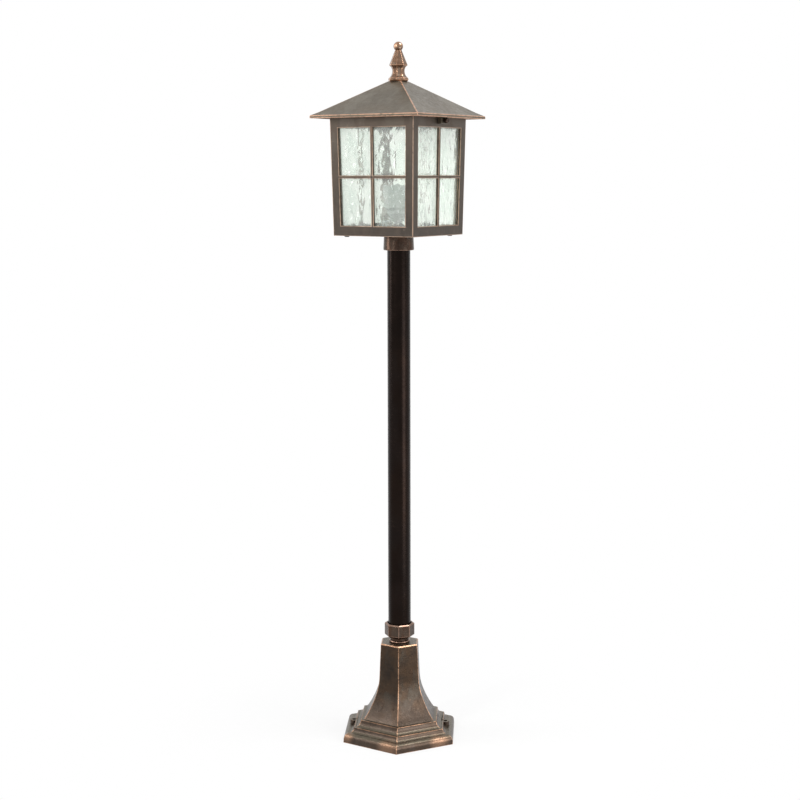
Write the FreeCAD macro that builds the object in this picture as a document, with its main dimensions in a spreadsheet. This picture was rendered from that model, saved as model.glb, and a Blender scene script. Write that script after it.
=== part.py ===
import FreeCAD, Part
import math
import os
import re
import Sketcher

# Garden post lantern: a square glazed lantern with a lift-off roof, on a round pole that stands
# in a hexagonal, bell-shaped foot. Millimetres, +Z up, origin at the middle of the foot's
# underside, lantern faces square to X and Y, front towards -Y.

# Driving sizes. "half" is a half width measured to a flat side.
SIZES = {
    # Foot and bell, one hexagonal casting
    "foot_half": 95.4,
    "foot_edge": 6.0,
    "foot_draft": 0.4,
    "foot_round": 9.6,
    "skirt_cove": 7.6,
    "low_step_in": 17.9,
    "low_step_top": 24.0,
    "high_step_in": 11.5,
    "high_step_rise": 11.2,
    "step_edge": 2.2,
    "step_ledge": 1.2,
    "step_cove": 10.0,
    "bell_foot_in": 5.8,
    "bell_foot_rise": 0.9,
    "bell_low_sweep": 177.0,
    "bell_waist_half": 41.2,
    "bell_waist_rise": 37.6,
    "bell_high_sweep": 105.0,
    "bell_neck_half": 34.5,
    "bell_neck_rise": 31.3,
    "bell_top_half": 31.8,
    "bell_stem": 62.4,
    "bell_bevel": 1.4,
    "bell_plate": 6.0,
    "cast_wall": 4.0,
    # Ground bolts
    "bolt_in": 14.4,
    "bolt_hole_radius": 3.3,
    "boss_radius": 7.2,
    "boss_top": 23.4,
    # Coupling between bell and pole
    "bead_radius": 18.3,
    "bead_height": 4.0,
    "neck_radius": 15.5,
    "neck_height": 4.1,
    "ring_foot_half": 17.6,
    "ring_wall": 4.5,
    "ring_flare": 5.0,
    "ring_height": 26.3,
    "ring_bevel": 1.6,
    "ring_mouth_gap": 1.7,
    "ring_mouth_depth": 4.0,
    "ring_floor": 6.0,
    "coupling_spigot_radius": 12.0,
    "coupling_spigot_spare": 3.4,
    "spigot_bevel": 0.8,
    "coupling_bore_radius": 8.0,
    "coupling_nut_half": 16.0,
    "coupling_nut_height": 7.0,
    "coupling_washer_radius": 20.0,
    "washer_sheet": 1.6,
    # Pole
    "pole_radius": 19.7,
    "pole_wall": 2.0,
    "pole_length": 692.4,
    "grub_radius": 2.5,
    "grub_socket_half": 1.25,
    "grub_recess": 0.4,
    "coupling_grub_rise": 8.0,
    "collar_grub_rise": 12.0,
    # Collar under the lantern
    "collar_low_wall": 6.4,
    "collar_top_wall": 5.3,
    "collar_socket": 20.6,
    "collar_plate": 6.0,
    "collar_rim": 1.6,
    "collar_rim_bevel": 0.5,
    "collar_mouth_gap": 2.9,
    "collar_mouth_depth": 2.6,
    "collar_spigot_radius": 10.0,
    "collar_spigot_spare": 3.5,
    "collar_bore_radius": 6.5,
    "collar_nut_half": 14.0,
    "collar_nut_height": 6.0,
    "collar_washer_radius": 17.0,
    "bush_bore_radius": 4.0,
    "bush_flange_radius": 8.8,
    "bush_flange": 1.8,
    "bush_depth": 7.0,
    # Lantern body, floor and glazing
    "body_top_half": 82.9,
    "body_taper": 3.8,
    "body_height": 198.5,
    "body_wall": 5.0,
    "body_drop": 1.4,
    "floor_sheet": 2.0,
    "floor_gap": 0.3,
    "drain_radius": 2.5,
    "drain_at": 34.0,
    "low_rail": 17.0,
    "top_rail": 20.0,
    "stile": 15.5,
    "glazing_bar": 4.8,
    "crossing_boss_radius": 3.2,
    "crossing_boss_rise": 0.6,
    "crossing_boss_inset": 0.2,
    "corner_lug_in": 28.1,
    "lug_height": 11.0,
    "corner_screw_in": 16.1,
    "corner_screw_radius": 2.5,
    "corner_screw_length": 10.0,
    "corner_head_radius": 4.9,
    "corner_head_height": 3.5,
    "screw_hole_spare": 0.5,
    "screw_tip_bevel": 0.5,
    "glass_sheet": 3.0,
    "glass_lap": 5.0,
    "strip_leg": 7.0,
    "strip_sheet": 1.2,
    "strip_foot_reach": 4.0,
    "strip_screw_in": 22.6,
    "strip_screw_radius": 1.5,
    "strip_screw_length": 6.0,
    "strip_head_radius": 2.85,
    "strip_head_height": 1.8,
    # Lampholder on its bracket
    "bracket_sheet": 1.5,
    "bracket_half": 27.0,
    "bracket_foot": 12.0,
    "bracket_width": 16.0,
    "nipple_radius": 5.0,
    "nipple_bore_radius": 3.5,
    "nipple_gap": 2.1,
    "nipple_tail": 5.6,
    "nipple_reach": 9.6,
    "nipple_nut_half": 7.0,
    "nipple_nut_height": 4.0,
    "cap_low_radius": 12.0,
    "cap_top_radius": 19.4,
    "cap_height": 16.0,
    "cap_cone": 11.2,
    "cap_wall": 2.0,
    "holder_radius": 24.2,
    "holder_height": 43.0,
    "holder_shoulder": 6.0,
    "holder_rim_bevel": 1.0,
    "holder_floor": 8.0,
    "holder_bore_radius": 14.4,
    "core_height": 6.5,
    "core_plate": 2.0,
    "core_well_radius": 8.0,
    "core_bore_radius": 1.5,
    "socket_radius": 13.3,
    "socket_sheet": 0.8,
    "socket_length": 22.5,
    "contact_width": 7.0,
    "contact_sheet": 0.6,
    "contact_rise": 2.4,
    # Supply terminals on the lantern's floor
    "block_length": 32.0,
    "block_width": 15.0,
    "block_height": 12.0,
    "block_at": 38.0,
    "way_pitch": 10.0,
    "way_rise": 4.8,
    "way_radius": 1.8,
    "well_radius": 2.0,
    "well_depth": 5.0,
    "wire_screw_height": 3.5,
    "small_screw_radius": 2.0,
    "small_head_radius": 3.8,
    "small_head_height": 2.4,
    "small_screw_tail": 3.0,
    "earth_at": 38.0,
    "earth_washer_radius": 4.6,
    # Roof
    "eave_overhang": 23.9,
    "eave_edge": 4.5,
    "roof_overlap": 4.0,
    "flare_width": 10.8,
    "flare_rise": 5.7,
    "roof_rise": 57.4,
    "roof_top_half": 12.2,
    "roof_wall": 3.2,
    "skirt_gap": 1.7,
    "skirt_wall": 2.5,
    "skirt_lift": 0.5,
    "skirt_cover": 0.96,
    "seat_ledge": 2.5,
    "seat_inset": 0.5,
    "lug_gap": 1.1,
    "lug_wall": 6.4,
    "lug_width": 20.0,
    "lug_drop": 5.3,
    # Thumbscrews that keep the roof on
    "thumb_drop": 8.7,
    "thumb_radius": 2.0,
    "thumb_tip_gap": 0.25,
    "thumb_neck": 0.3,
    "thumb_head_radius": 4.6,
    "thumb_head_length": 6.6,
    "thumb_bevel": 0.8,
    "thumb_tip_bevel": 0.4,
    # Finial
    "finial_foot_half": 16.2,
    "finial_foot_low_half": 15.0,
    "finial_foot_rise": 2.4,
    "finial_foot_height": 5.2,
    "finial_foot_edge": 0.8,
    "finial_cove": 13.5,
    "finial_cove_rise": 10.4,
    "finial_neck_half": 9.9,
    "finial_neck_length": 3.2,
    "finial_under_half": 11.4,
    "finial_under_rise": 4.2,
    "finial_cone_half": 14.5,
    "finial_cone_rise": 2.8,
    "finial_cone_edge": 0.9,
    "finial_tip_half": 5.1,
    "finial_spire": 24.7,
    "ball_radius": 8.0,
    "ball_sink": 2.4,
    "stud_radius": 3.0,
    "stud_gap": 0.2,
    "stud_depth": 15.0,
    "stud_tail": 13.0,
    "stud_nut_half": 5.0,
    "stud_nut_height": 5.0,
    "stud_washer_radius": 8.0,
    # Clearances, and how far a cutting shape runs past the face that it cuts
    "fit_gap": 0.05,
    "seat_gap": 0.1,
    "overcut": 1.0,
}

# Places that follow from the driving sizes, from the ground up.
PLACES = {
    "low_step_half": "foot_half - low_step_in",
    "high_step_half": "low_step_half - high_step_in",
    "high_step_top": "low_step_top + high_step_rise",
    "bell_foot_half": "high_step_half - bell_foot_in",
    "bell_foot_z": "high_step_top + bell_foot_rise",
    "bell_waist_z": "bell_foot_z + bell_waist_rise",
    "bell_neck_z": "bell_waist_z + bell_neck_rise",
    "bell_top_z": "bell_neck_z + bell_stem",
    "spigot_low": "plate_low - washer_sheet - coupling_nut_height - coupling_spigot_spare",
    "ring_half": "pole_radius + ring_wall",
    "ring_mouth_radius": "pole_radius + ring_mouth_gap",
    "ring_low": "bell_top_z + bead_height + neck_height",
    "ring_top": "ring_low + ring_height",
    "pole_low": "ring_low + ring_floor",
    "pole_top": "pole_low + pole_length",
    "plate_low": "bell_top_z - bell_plate",
    "coupling_grub_z": "pole_low + coupling_grub_rise",
    "collar_grub_z": "collar_low + collar_grub_rise",
    "collar_low_radius": "pole_radius + collar_low_wall",
    "collar_top_radius": "pole_radius + collar_top_wall",
    "collar_mouth_radius": "pole_radius + collar_mouth_gap",
    "collar_low": "pole_top - collar_socket",
    "collar_top": "pole_top + collar_plate",
    "collar_spigot_top": "floor_top + washer_sheet + collar_nut_height + collar_spigot_spare",
    "floor_top": "collar_top + floor_sheet",
    "body_low": "collar_top - body_drop",
    "body_top": "body_low + body_height",
    "body_lean": "body_taper / body_height",
    "body_low_half": "body_top_half - body_taper",
    "corner_screw_at": "body_low_half - corner_screw_in",
    "strip_screw_at": "body_low_half - strip_screw_in",
    "lug_inner": "body_low_half - corner_lug_in",
    "window_low": "body_low + low_rail",
    "window_top": "body_top - top_rail",
    "window_middle": "(window_low + window_top) / 2",
    "lug_top": "floor_top + lug_height",
    "glass_low": "lug_top + seat_gap",
    "glass_top": "window_top + glass_lap",
    "bracket_low": "collar_spigot_top + bush_flange + nipple_gap + nipple_tail",
    "bracket_top": "bracket_low + bracket_sheet",
    "foot_hole_x": "bracket_half + bracket_foot / 2",
    "cap_top": "bracket_top + cap_height",
    "holder_top": "cap_top + holder_height",
    "core_low": "cap_top + holder_floor",
    "contact_low": "core_low + core_plate",
    "socket_low": "core_low + core_height",
    "socket_top": "socket_low + socket_length",
    "eave_half": "body_top_half + eave_overhang",
    "eave_low": "body_top - roof_overlap",
    "eave_top": "eave_low + eave_edge",
    "roof_top": "eave_top + roof_rise",
    "roof_slope": "(roof_rise - flare_rise) / (eave_half - flare_width - roof_top_half)",
    "flare_slope": "flare_rise / flare_width",
    "skirt_inner": "body_top_half + skirt_gap",
    "skirt_outer": "skirt_inner + skirt_wall",
    "skirt_top": "roof_top - (skirt_outer - roof_top_half) * roof_slope - skirt_cover",
    "seat_low": "body_top + seat_gap",
    "lug_face": "body_top_half + lug_gap",
    "lug_back": "lug_face + lug_wall",
    "thumb_z": "body_top - thumb_drop",
    "thumb_tip": "body_top_half + thumb_tip_gap",
    "finial_low": "roof_top + seat_gap",
    "finial_foot_top": "finial_low + finial_foot_height",
    "finial_neck_low": "finial_foot_top + finial_cove_rise",
    "finial_neck_top": "finial_neck_low + finial_neck_length",
    "finial_under_z": "finial_neck_top + finial_under_rise",
    "finial_cone_z": "finial_under_z + finial_cone_rise",
    "finial_edge_z": "finial_cone_z + finial_cone_edge",
    "finial_tip_z": "finial_edge_z + finial_spire",
    "roof_inner_top": "roof_top - roof_wall",
}

# Side counts, turns in degrees and shares that have no length
HEX_SIDES = 6
OCTAGON_SIDES = 8
SQUARE_SIDES = 4
HEX_NORMAL = 30
RING_NORMAL = 7.5
QUARTERS = (0, 90, 180, 270)
BOSS_TURNS = (30, 210)
GRUB_TURNS = (52.5, 142.5)
PAN_EDGE_SHARE = 0.45
PAN_CROWN_SHARE = 0.72
DOWN = FreeCAD.Rotation(FreeCAD.Vector(1, 0, 0), 180)

doc = FreeCAD.newDocument("PostLantern")
sheet = doc.addObject("Spreadsheet::Sheet", "Sizes")
for row, (alias, size) in enumerate(SIZES.items(), start=1):
    sheet.set(f"A{row}", alias)
    sheet.set(f"B{row}", str(size))
    sheet.setAlias(f"B{row}", alias)
doc.recompute()

nodes = {}


# ---- sizes and places ----

def formula(text):
    """Write a formula on named sizes and places out as one on the sheet's cells."""
    def expand(word):
        name = word.group()
        if name in PLACES:
            return "(" + formula(PLACES[name]) + ")"
        return "Sizes." + name if name in SIZES else name
    return re.sub(r"[a-z][a-z0-9_]*", expand, text)


def value(text):
    """Work a formula out as a number."""
    return float(sheet.evalExpression(formula(text)))


def bind(thing, **formulas):
    """Tie properties of an object to formulas."""
    for name, text in formulas.items():
        thing.setExpression(name, formula(text))
    return thing


def place(thing, x="0", y="0", z="0", turn=FreeCAD.Rotation()):
    """Turn an object, then tie its position to formulas."""
    thing.Placement = FreeCAD.Placement(FreeCAD.Vector(), turn)
    for axis, text in (("x", x), ("y", y), ("z", z)):
        thing.setExpression("Placement.Base." + axis, formula(text))
    return thing


def about_z(degrees):
    """Give a turn about the upright axis."""
    return FreeCAD.Rotation(FreeCAD.Vector(0, 0, 1), degrees)


def outwards(degrees):
    """Give the turn that lays an upright thing down, pointing away from the axis."""
    return about_z(degrees).multiply(FreeCAD.Rotation(FreeCAD.Vector(0, 1, 0), 90))


def polar(distance, degrees):
    """Give the X and Y formulas of a place at a distance from the axis."""
    angle = math.radians(degrees)
    return f"({distance}) * {math.cos(angle):.9f}", f"({distance}) * {math.sin(angle):.9f}"


def node(label, thing):
    """Name a finished piece; its label also names its file."""
    thing.Label = label
    nodes[label] = thing
    return thing


# ---- outlines ----

def arc_between(start, end, radius, side):
    """Give the arc between two points, its centre left (1) or right (-1) of the way."""
    half = (end - start) * 0.5
    across = FreeCAD.Vector(-half.y, half.x, 0).normalize() * side
    centre = start + half + across * math.sqrt(radius ** 2 - half.Length ** 2)
    return Part.Arc(start, centre - across * radius, end)


def draw(sketch, corners):
    """Draw a closed outline; a corner with a radius and a side is reached by an arc."""
    ends = [FreeCAD.Vector(value(corner[0]), value(corner[1]), 0) for corner in corners]
    starts = ends[-1:] + ends[:-1]
    pieces = []
    for start, end, corner in zip(starts, ends, corners):
        if len(corner) == 2:
            index = sketch.addGeometry(Part.LineSegment(start, end))
        else:
            index = sketch.addGeometry(arc_between(start, end, value(corner[2]), corner[3]))
            radius = sketch.addConstraint(Sketcher.Constraint("Radius", index, value(corner[2])))
            sketch.setExpression(f"Constraints[{radius}]", formula(corner[2]))
        forward = (sketch.getPoint(index, 1) - start).Length < (sketch.getPoint(index, 2) - start).Length
        pieces.append((index, 1, 2) if forward else (index, 2, 1))
    for (last, _, tail), (index, head, _) in zip(pieces[-1:] + pieces[:-1], pieces):
        sketch.addConstraint(Sketcher.Constraint("Coincident", last, tail, index, head))
    for (index, _, tail), corner in zip(pieces, corners):
        for kind, text in (("DistanceX", corner[0]), ("DistanceY", corner[1])):
            tie = sketch.addConstraint(Sketcher.Constraint(kind, index, tail, value(text)))
            sketch.setExpression(f"Constraints[{tie}]", formula(text))


def draw_circle(sketch, x, y, radius):
    """Draw a circle about a place given by formulas."""
    middle = FreeCAD.Vector(value(x), value(y), 0)
    circle = Part.Circle(middle, FreeCAD.Vector(0, 0, 1), value(radius))
    index = sketch.addGeometry(circle)
    ties = (("DistanceX", (index, 3), x), ("DistanceY", (index, 3), y), ("Radius", (index,), radius))
    for kind, where, text in ties:
        tie = sketch.addConstraint(Sketcher.Constraint(kind, *where, value(text)))
        sketch.setExpression(f"Constraints[{tie}]", formula(text))


def mirrored(corners):
    """Close a right-hand outline, drawn from the bottom up, with its mirror image."""
    left = []
    for index in range(len(corners) - 1, -1, -1):
        x, z = corners[index][:2]
        arc = corners[index + 1][2:] if index + 1 < len(corners) else ()
        left.append((f"-({x})", z, *arc))
    return list(corners) + left


# ---- solids ----

def body_sketch(body, name, role, corners=None, circles=(), lift="0"):
    """Draw outlines on one of a body's own planes."""
    sketch = body.newObject("Sketcher::SketchObject", name)
    plane = [feature for feature in body.Origin.OriginFeatures if feature.Role == role][0]
    sketch.AttachmentSupport = [(plane, "")]
    sketch.MapMode = "FlatFace"
    sketch.setExpression("AttachmentOffset.Base.z", formula(lift))
    if corners:
        draw(sketch, corners)
    for circle in circles:
        draw_circle(sketch, *circle)
    return sketch


def turned(name, corners):
    """Turn an outline of radii and heights about the upright axis."""
    body = doc.addObject("PartDesign::Body", name)
    sketch = body_sketch(body, name + "_section", "XZ_Plane", corners)
    turning = body.newObject("PartDesign::Revolution", name + "_turning")
    turning.Profile = sketch
    turning.ReferenceAxis = (sketch, ["V_Axis"])
    turning.Angle = 360
    return body


def padded(name, low, thickness, corners=None, circles=()):
    """Raise a flat outline from a height by a thickness."""
    body = doc.addObject("PartDesign::Body", name)
    pad = body.newObject("PartDesign::Pad", name + "_pad")
    pad.Profile = body_sketch(body, name + "_outline", "XY_Plane", corners, circles, low)
    bind(pad, Length=thickness)
    return body


def ring(name, outer, inner, low, high):
    """Make a flat ring, a washer or a length of tube on the upright axis."""
    circles = [("0", "0", outer), ("0", "0", inner)]
    return padded(name, low, f"{high} - ({low})", circles=circles)


def cylinder(name, radius, low, high, x="0", y="0"):
    """Make an upright cylinder between two heights."""
    rod = bind(doc.addObject("Part::Cylinder", name), Radius=radius, Height=f"{high} - ({low})")
    return place(rod, x, y, low)


def spoke(name, radius, start, end, z, degrees):
    """Make a level cylinder that points away from the axis."""
    rod = bind(doc.addObject("Part::Cylinder", name), Radius=radius, Height=f"{end} - ({start})")
    x, y = polar(start, degrees)
    return place(rod, x, y, z, outwards(degrees))


def block(name, x, y, z):
    """Make a block between pairs of X, Y and Z formulas."""
    box = doc.addObject("Part::Box", name)
    bind(box, Length=f"{x[1]} - ({x[0]})", Width=f"{y[1]} - ({y[0]})", Height=f"{z[1]} - ({z[0]})")
    return place(box, x[0], y[0], z[0])


def square_block(name, half, low, high):
    """Make a square block about the upright axis."""
    sides = (f"-({half})", half)
    return block(name, sides, sides, (low, high))


def tapered(name, z, low_x, low_y, high_x, high_y, degrees=0):
    """Make a straight-sided block whose X and Y limits differ between bottom and top."""
    wedge = doc.addObject("Part::Wedge", name)
    bind(wedge, Xmin=low_x[0], Xmax=low_x[1], X2min=high_x[0], X2max=high_x[1])
    bind(wedge, Zmin=f"-({low_y[1]})", Zmax=f"-({low_y[0]})")
    bind(wedge, Z2min=f"-({high_y[1]})", Z2max=f"-({high_y[0]})", Ymin="0", Ymax=f"{z[1]} - ({z[0]})")
    upright = FreeCAD.Rotation(FreeCAD.Vector(1, 0, 0), 90)
    return place(wedge, z=z[0], turn=about_z(degrees).multiply(upright))


def faceted(name, sides, normal, corners):
    """Make an upright solid with flat sides, mitred where they meet.

    The outline gives the half width to a side at each height. Each pair of opposite sides is one
    straight run of the outline, and the solid is what all the runs share.
    """
    runs = []
    for index in range(sides // 2):
        lying = FreeCAD.Rotation(FreeCAD.Vector(1, 0, 0), 90)
        outline = doc.addObject("Sketcher::SketchObject", f"{name}_outline_{index}")
        outline.Placement = FreeCAD.Placement(
            FreeCAD.Vector(), about_z(normal + index * 360 / sides).multiply(lying))
        draw(outline, mirrored(corners))
        run = doc.addObject("Part::Extrusion", f"{name}_run_{index}")
        run.Base = outline
        run.DirMode = "Normal"
        run.Solid = True
        run.Symmetric = True
        widest = max(corners, key=lambda corner: value(corner[0]))[0]
        bind(run, LengthFwd=f"({widest}) * 4")
        runs.append(run)
    return common(name, *runs)


def common(name, *shapes):
    """Keep what all the shapes share."""
    shared = doc.addObject("Part::MultiCommon", name)
    shared.Shapes = list(shapes)
    return shared


def fuse(name, *shapes):
    """Join shapes."""
    joined = doc.addObject("Part::MultiFuse", name)
    joined.Shapes = list(shapes)
    return joined


def cut(name, base, *tools):
    """Cut tools out of a base."""
    result = doc.addObject("Part::Cut", name)
    result.Base = base
    result.Tool = tools[0] if len(tools) == 1 else fuse(name + "_tools", *tools)
    return result


def hex_nut(label, half, bore, low, high):
    """Make a hexagonal nut on the upright axis."""
    blank = doc.addObject("Part::Prism", label + "_blank")
    blank.Polygon = HEX_SIDES
    bind(blank, Circumradius=f"({half}) / cos({180 / HEX_SIDES})", Height=f"{high} - ({low})")
    place(blank, z=low)
    hole = cylinder(label + "_bore", bore, f"{low} - overcut", f"{high} + overcut")
    return node(label, cut(label, blank, hole))


def copies(label, original, places):
    """Set identical solids at several places, as one piece list entry."""
    links = []
    for index, (x, y, z, turn) in enumerate(places):
        link = doc.addObject("App::Link", f"{label}_{index}")
        link.LinkedObject = original
        links.append(place(link, x, y, z, turn))
    together = doc.addObject("Part::Compound", label)
    together.Links = links
    return node(label, together)


def pan_screw(name, radius, length, head_radius, head_height):
    """Make a pan-head screw with its head on top of Z = 0 and its shank below."""
    return turned(name, [
        ("0", f"-({length})"),
        (f"{radius} - screw_tip_bevel", f"-({length})"),
        (radius, f"-({length}) + screw_tip_bevel"),
        (radius, "0"),
        (head_radius, "0"),
        (head_radius, f"{head_height} * {PAN_EDGE_SHARE}"),
        (f"{head_radius} * {PAN_CROWN_SHARE}", head_height),
        ("0", head_height),
    ])


def grub_screws(label, surface, z):
    """Make the socket set screws that press on the pole, below the outer surface."""
    stem = doc.addObject("PartDesign::Body", label + "_one")
    shank = stem.newObject("PartDesign::Pad", label + "_shank")
    shank.Profile = body_sketch(
        stem, label + "_round", "XY_Plane", circles=[("0", "0", "grub_radius - fit_gap")])
    length = f"({surface}) - grub_recess - pole_radius - seat_gap"
    bind(shank, Length=length)
    step = 360 / HEX_SIDES
    key = [polar(f"grub_socket_half / cos({step / 2})", step * corner) for corner in range(HEX_SIDES)]
    socket = stem.newObject("PartDesign::Pocket", label + "_socket")
    socket.Profile = body_sketch(stem, label + "_key", "XY_Plane", key, lift=length)
    bind(socket, Length=f"({length}) / 2")
    spots = []
    for degrees in GRUB_TURNS:
        x, y = polar("pole_radius + seat_gap", degrees)
        spots.append((x, y, z, outwards(degrees)))
    return copies(label, stem, spots)


def grub_holes(name, z, reach):
    """Make the tools that drill the set screws' holes."""
    return [spoke(f"{name}_{index}", "grub_radius", "pole_radius - overcut", reach, z, degrees)
            for index, degrees in enumerate(GRUB_TURNS)]


# ---- foot and coupling ----

def build_base():
    """Make the hollow hexagonal foot and bell with its two bolt bosses."""
    edge_top = "foot_edge + foot_round"
    outer = faceted("base_outer", HEX_SIDES, HEX_NORMAL, [
        ("foot_half", "0"),
        ("foot_half - foot_draft", "foot_edge"),
        ("foot_half - foot_draft - foot_round", edge_top, "foot_round", 1),
        ("low_step_half + foot_draft", "low_step_top - step_edge", "skirt_cove", -1),
        ("low_step_half", "low_step_top"),
        ("low_step_half - step_ledge", "low_step_top"),
        ("high_step_half + foot_draft", "high_step_top - step_edge", "step_cove", -1),
        ("high_step_half", "high_step_top"),
        ("bell_foot_half", "bell_foot_z"),
        ("bell_waist_half", "bell_waist_z", "bell_low_sweep", -1),
        ("bell_neck_half", "bell_neck_z", "bell_high_sweep", -1),
        ("bell_top_half", "bell_top_z - bell_bevel"),
        ("bell_top_half - bell_bevel", "bell_top_z"),
    ])
    inner = faceted("base_inner", HEX_SIDES, HEX_NORMAL, [
        ("foot_half - cast_wall", "-overcut"),
        ("foot_half - cast_wall", "foot_edge"),
        ("foot_half - foot_draft - foot_round", f"{edge_top} - cast_wall"),
        ("low_step_half - cast_wall + step_ledge", f"{edge_top} - cast_wall + step_ledge"),
        ("high_step_half", "low_step_top - cast_wall + step_ledge"),
        ("high_step_half - cast_wall", "high_step_top - step_edge - cast_wall"),
        ("bell_foot_half - cast_wall", "high_step_top - step_edge - step_ledge"),
        ("bell_waist_half - cast_wall", "bell_waist_z", "bell_low_sweep + cast_wall", -1),
        ("bell_neck_half - cast_wall", "bell_neck_z", "bell_high_sweep + cast_wall", -1),
        ("bell_top_half - cast_wall", "plate_low"),
    ])
    shell = cut("base_shell", outer, inner)
    bosses = []
    holes = [cylinder("spigot_hole", "coupling_spigot_radius + seat_gap",
                      "plate_low - overcut", "bell_top_z + overcut")]
    for index, degrees in enumerate(BOSS_TURNS):
        x, y = polar("foot_half - bolt_in", degrees)
        bosses.append(cylinder(f"boss_{index}", "boss_radius", "0", "boss_top", x, y))
        holes.append(cylinder(f"bolt_hole_{index}", "bolt_hole_radius", "-overcut",
                              "boss_top + overcut", x, y))
    node("base_casting", cut("base_casting", fuse("base_with_bosses", shell, *bosses), *holes))


def build_coupling():
    """Make the octagonal pole socket with its neck, bead and threaded spigot."""
    bead_round = "bead_height / 2"
    stem = turned("coupling_stem", [
        ("0", "spigot_low"),
        ("coupling_spigot_radius - spigot_bevel", "spigot_low"),
        ("coupling_spigot_radius", "spigot_low + spigot_bevel"),
        ("coupling_spigot_radius", "bell_top_z"),
        (f"bead_radius - {bead_round}", "bell_top_z"),
        ("bead_radius", f"bell_top_z + {bead_round}", bead_round, 1),
        (f"bead_radius - {bead_round}", "bell_top_z + bead_height", bead_round, 1),
        ("neck_radius", "bell_top_z + bead_height"),
        ("neck_radius", "ring_low + overcut"),
        ("0", "ring_low + overcut"),
    ])
    head = faceted("coupling_head", OCTAGON_SIDES, RING_NORMAL, [
        ("ring_foot_half", "ring_low"),
        ("ring_half", "ring_low + ring_flare"),
        ("ring_half", "ring_top - ring_bevel"),
        ("ring_half - ring_bevel", "ring_top"),
    ])
    node("coupling", cut(
        "coupling", fuse("coupling_blank", stem, head),
        cylinder("coupling_bore", "coupling_bore_radius", "spigot_low - overcut", "pole_low + overcut"),
        cylinder("coupling_socket", "pole_radius + fit_gap", "pole_low", "ring_top"),
        cylinder("coupling_mouth", "ring_mouth_radius", "ring_top - ring_mouth_depth",
                 "ring_top + overcut"),
        *grub_holes("coupling_grub_hole", "coupling_grub_z",
                    f"ring_half / cos({180 / OCTAGON_SIDES}) + overcut")))
    node("coupling_washer", ring(
        "coupling_washer", "coupling_washer_radius", "coupling_spigot_radius + seat_gap",
        "plate_low - washer_sheet", "plate_low"))
    hex_nut(
        "coupling_lock_nut", "coupling_nut_half", "coupling_spigot_radius + fit_gap",
        "plate_low - washer_sheet - coupling_nut_height", "plate_low - washer_sheet")
    grub_screws("coupling_grub_screws", "ring_half", "coupling_grub_z")


def build_pole():
    """Make the round pole that stands in the coupling."""
    node("pole_tube", ring("pole_tube", "pole_radius", "pole_radius - pole_wall", "pole_low", "pole_top"))


# ---- lantern: collar and floor ----

def build_collar():
    """Make the collar that drops over the pole, with its nut, washer and cable bush."""
    blank = turned("collar_blank", [
        ("collar_bore_radius", "pole_top"),
        ("pole_radius + fit_gap", "pole_top"),
        ("pole_radius + fit_gap", "collar_low + collar_mouth_depth"),
        ("collar_mouth_radius", "collar_low + collar_mouth_depth"),
        ("collar_mouth_radius", "collar_low"),
        ("collar_low_radius - collar_rim_bevel", "collar_low"),
        ("collar_low_radius", "collar_low + collar_rim"),
        ("collar_top_radius", "collar_top"),
        ("collar_spigot_radius", "collar_top"),
        ("collar_spigot_radius", "collar_spigot_top"),
        ("collar_bore_radius", "collar_spigot_top"),
    ])
    holes = grub_holes("collar_grub_hole", "collar_grub_z", "collar_low_radius + overcut")
    node("lantern_collar", cut("lantern_collar", blank, *holes))
    grub_screws("collar_grub_screws", "collar_top_radius", "collar_grub_z")
    node("collar_washer", ring(
        "collar_washer", "collar_washer_radius", "collar_spigot_radius + seat_gap",
        "floor_top", "floor_top + washer_sheet"))
    hex_nut(
        "collar_lock_nut", "collar_nut_half", "collar_spigot_radius + fit_gap",
        "floor_top + washer_sheet", "floor_top + washer_sheet + collar_nut_height")
    node("cable_bush", turned("cable_bush", [
        ("bush_bore_radius", "collar_spigot_top - bush_depth"),
        ("collar_bore_radius - fit_gap", "collar_spigot_top - bush_depth"),
        ("collar_bore_radius - fit_gap", "collar_spigot_top"),
        ("bush_flange_radius", "collar_spigot_top"),
        ("bush_flange_radius", "collar_spigot_top + bush_flange"),
        ("bush_bore_radius", "collar_spigot_top + bush_flange"),
    ]))


def build_floor():
    """Make the floor plate that closes the body, with its holes, and its corner screws."""
    half = f"{body_half('collar_top')} - body_wall - floor_gap"
    corners = [(f"{sx} * ({half})", f"{sy} * ({half})") for sx, sy in ((-1, -1), (1, -1), (1, 1), (-1, 1))]
    circles = [("0", "0", "collar_spigot_radius + seat_gap")]
    spots = []
    for degrees in QUARTERS:
        x, y = polar("corner_screw_at * sqrt(2)", degrees + 45)
        circles.append((x, y, "corner_screw_radius + seat_gap"))
        spots.append((x, y, "collar_top", DOWN))
        x, y = polar("drain_at", degrees + 45)
        circles.append((x, y, "drain_radius"))
    for x in ("-foot_hole_x", "foot_hole_x"):
        circles.append((x, "0", "small_screw_radius"))
    circles.append(("0", "block_at", "strip_screw_radius"))
    circles.append(("-earth_at", "earth_at", "small_screw_radius"))
    node("lantern_floor", padded("lantern_floor", "collar_top", "floor_sheet", corners, circles))
    screw = pan_screw(
        "corner_screw", "corner_screw_radius - fit_gap", "corner_screw_length",
        "corner_head_radius", "corner_head_height")
    copies("floor_screws", screw, spots)


# ---- lantern: body and glazing ----

def body_half(height):
    """Give the formula of the body's half width at a height; its sides lean outwards."""
    return f"(body_low_half + ({height} - body_low) * body_lean)"


def leaning(name, low, high, inset, degrees=0):
    """Make a square block that leans with the body, its sides set in from the body's outside."""
    wide_low = f"{body_half(low)} - ({inset})"
    wide_high = f"{body_half(high)} - ({inset})"
    span_low = (f"-({wide_low})", wide_low)
    span_high = (f"-({wide_high})", wide_high)
    return tapered(name, (low, high), span_low, span_low, span_high, span_high, degrees)


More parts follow.
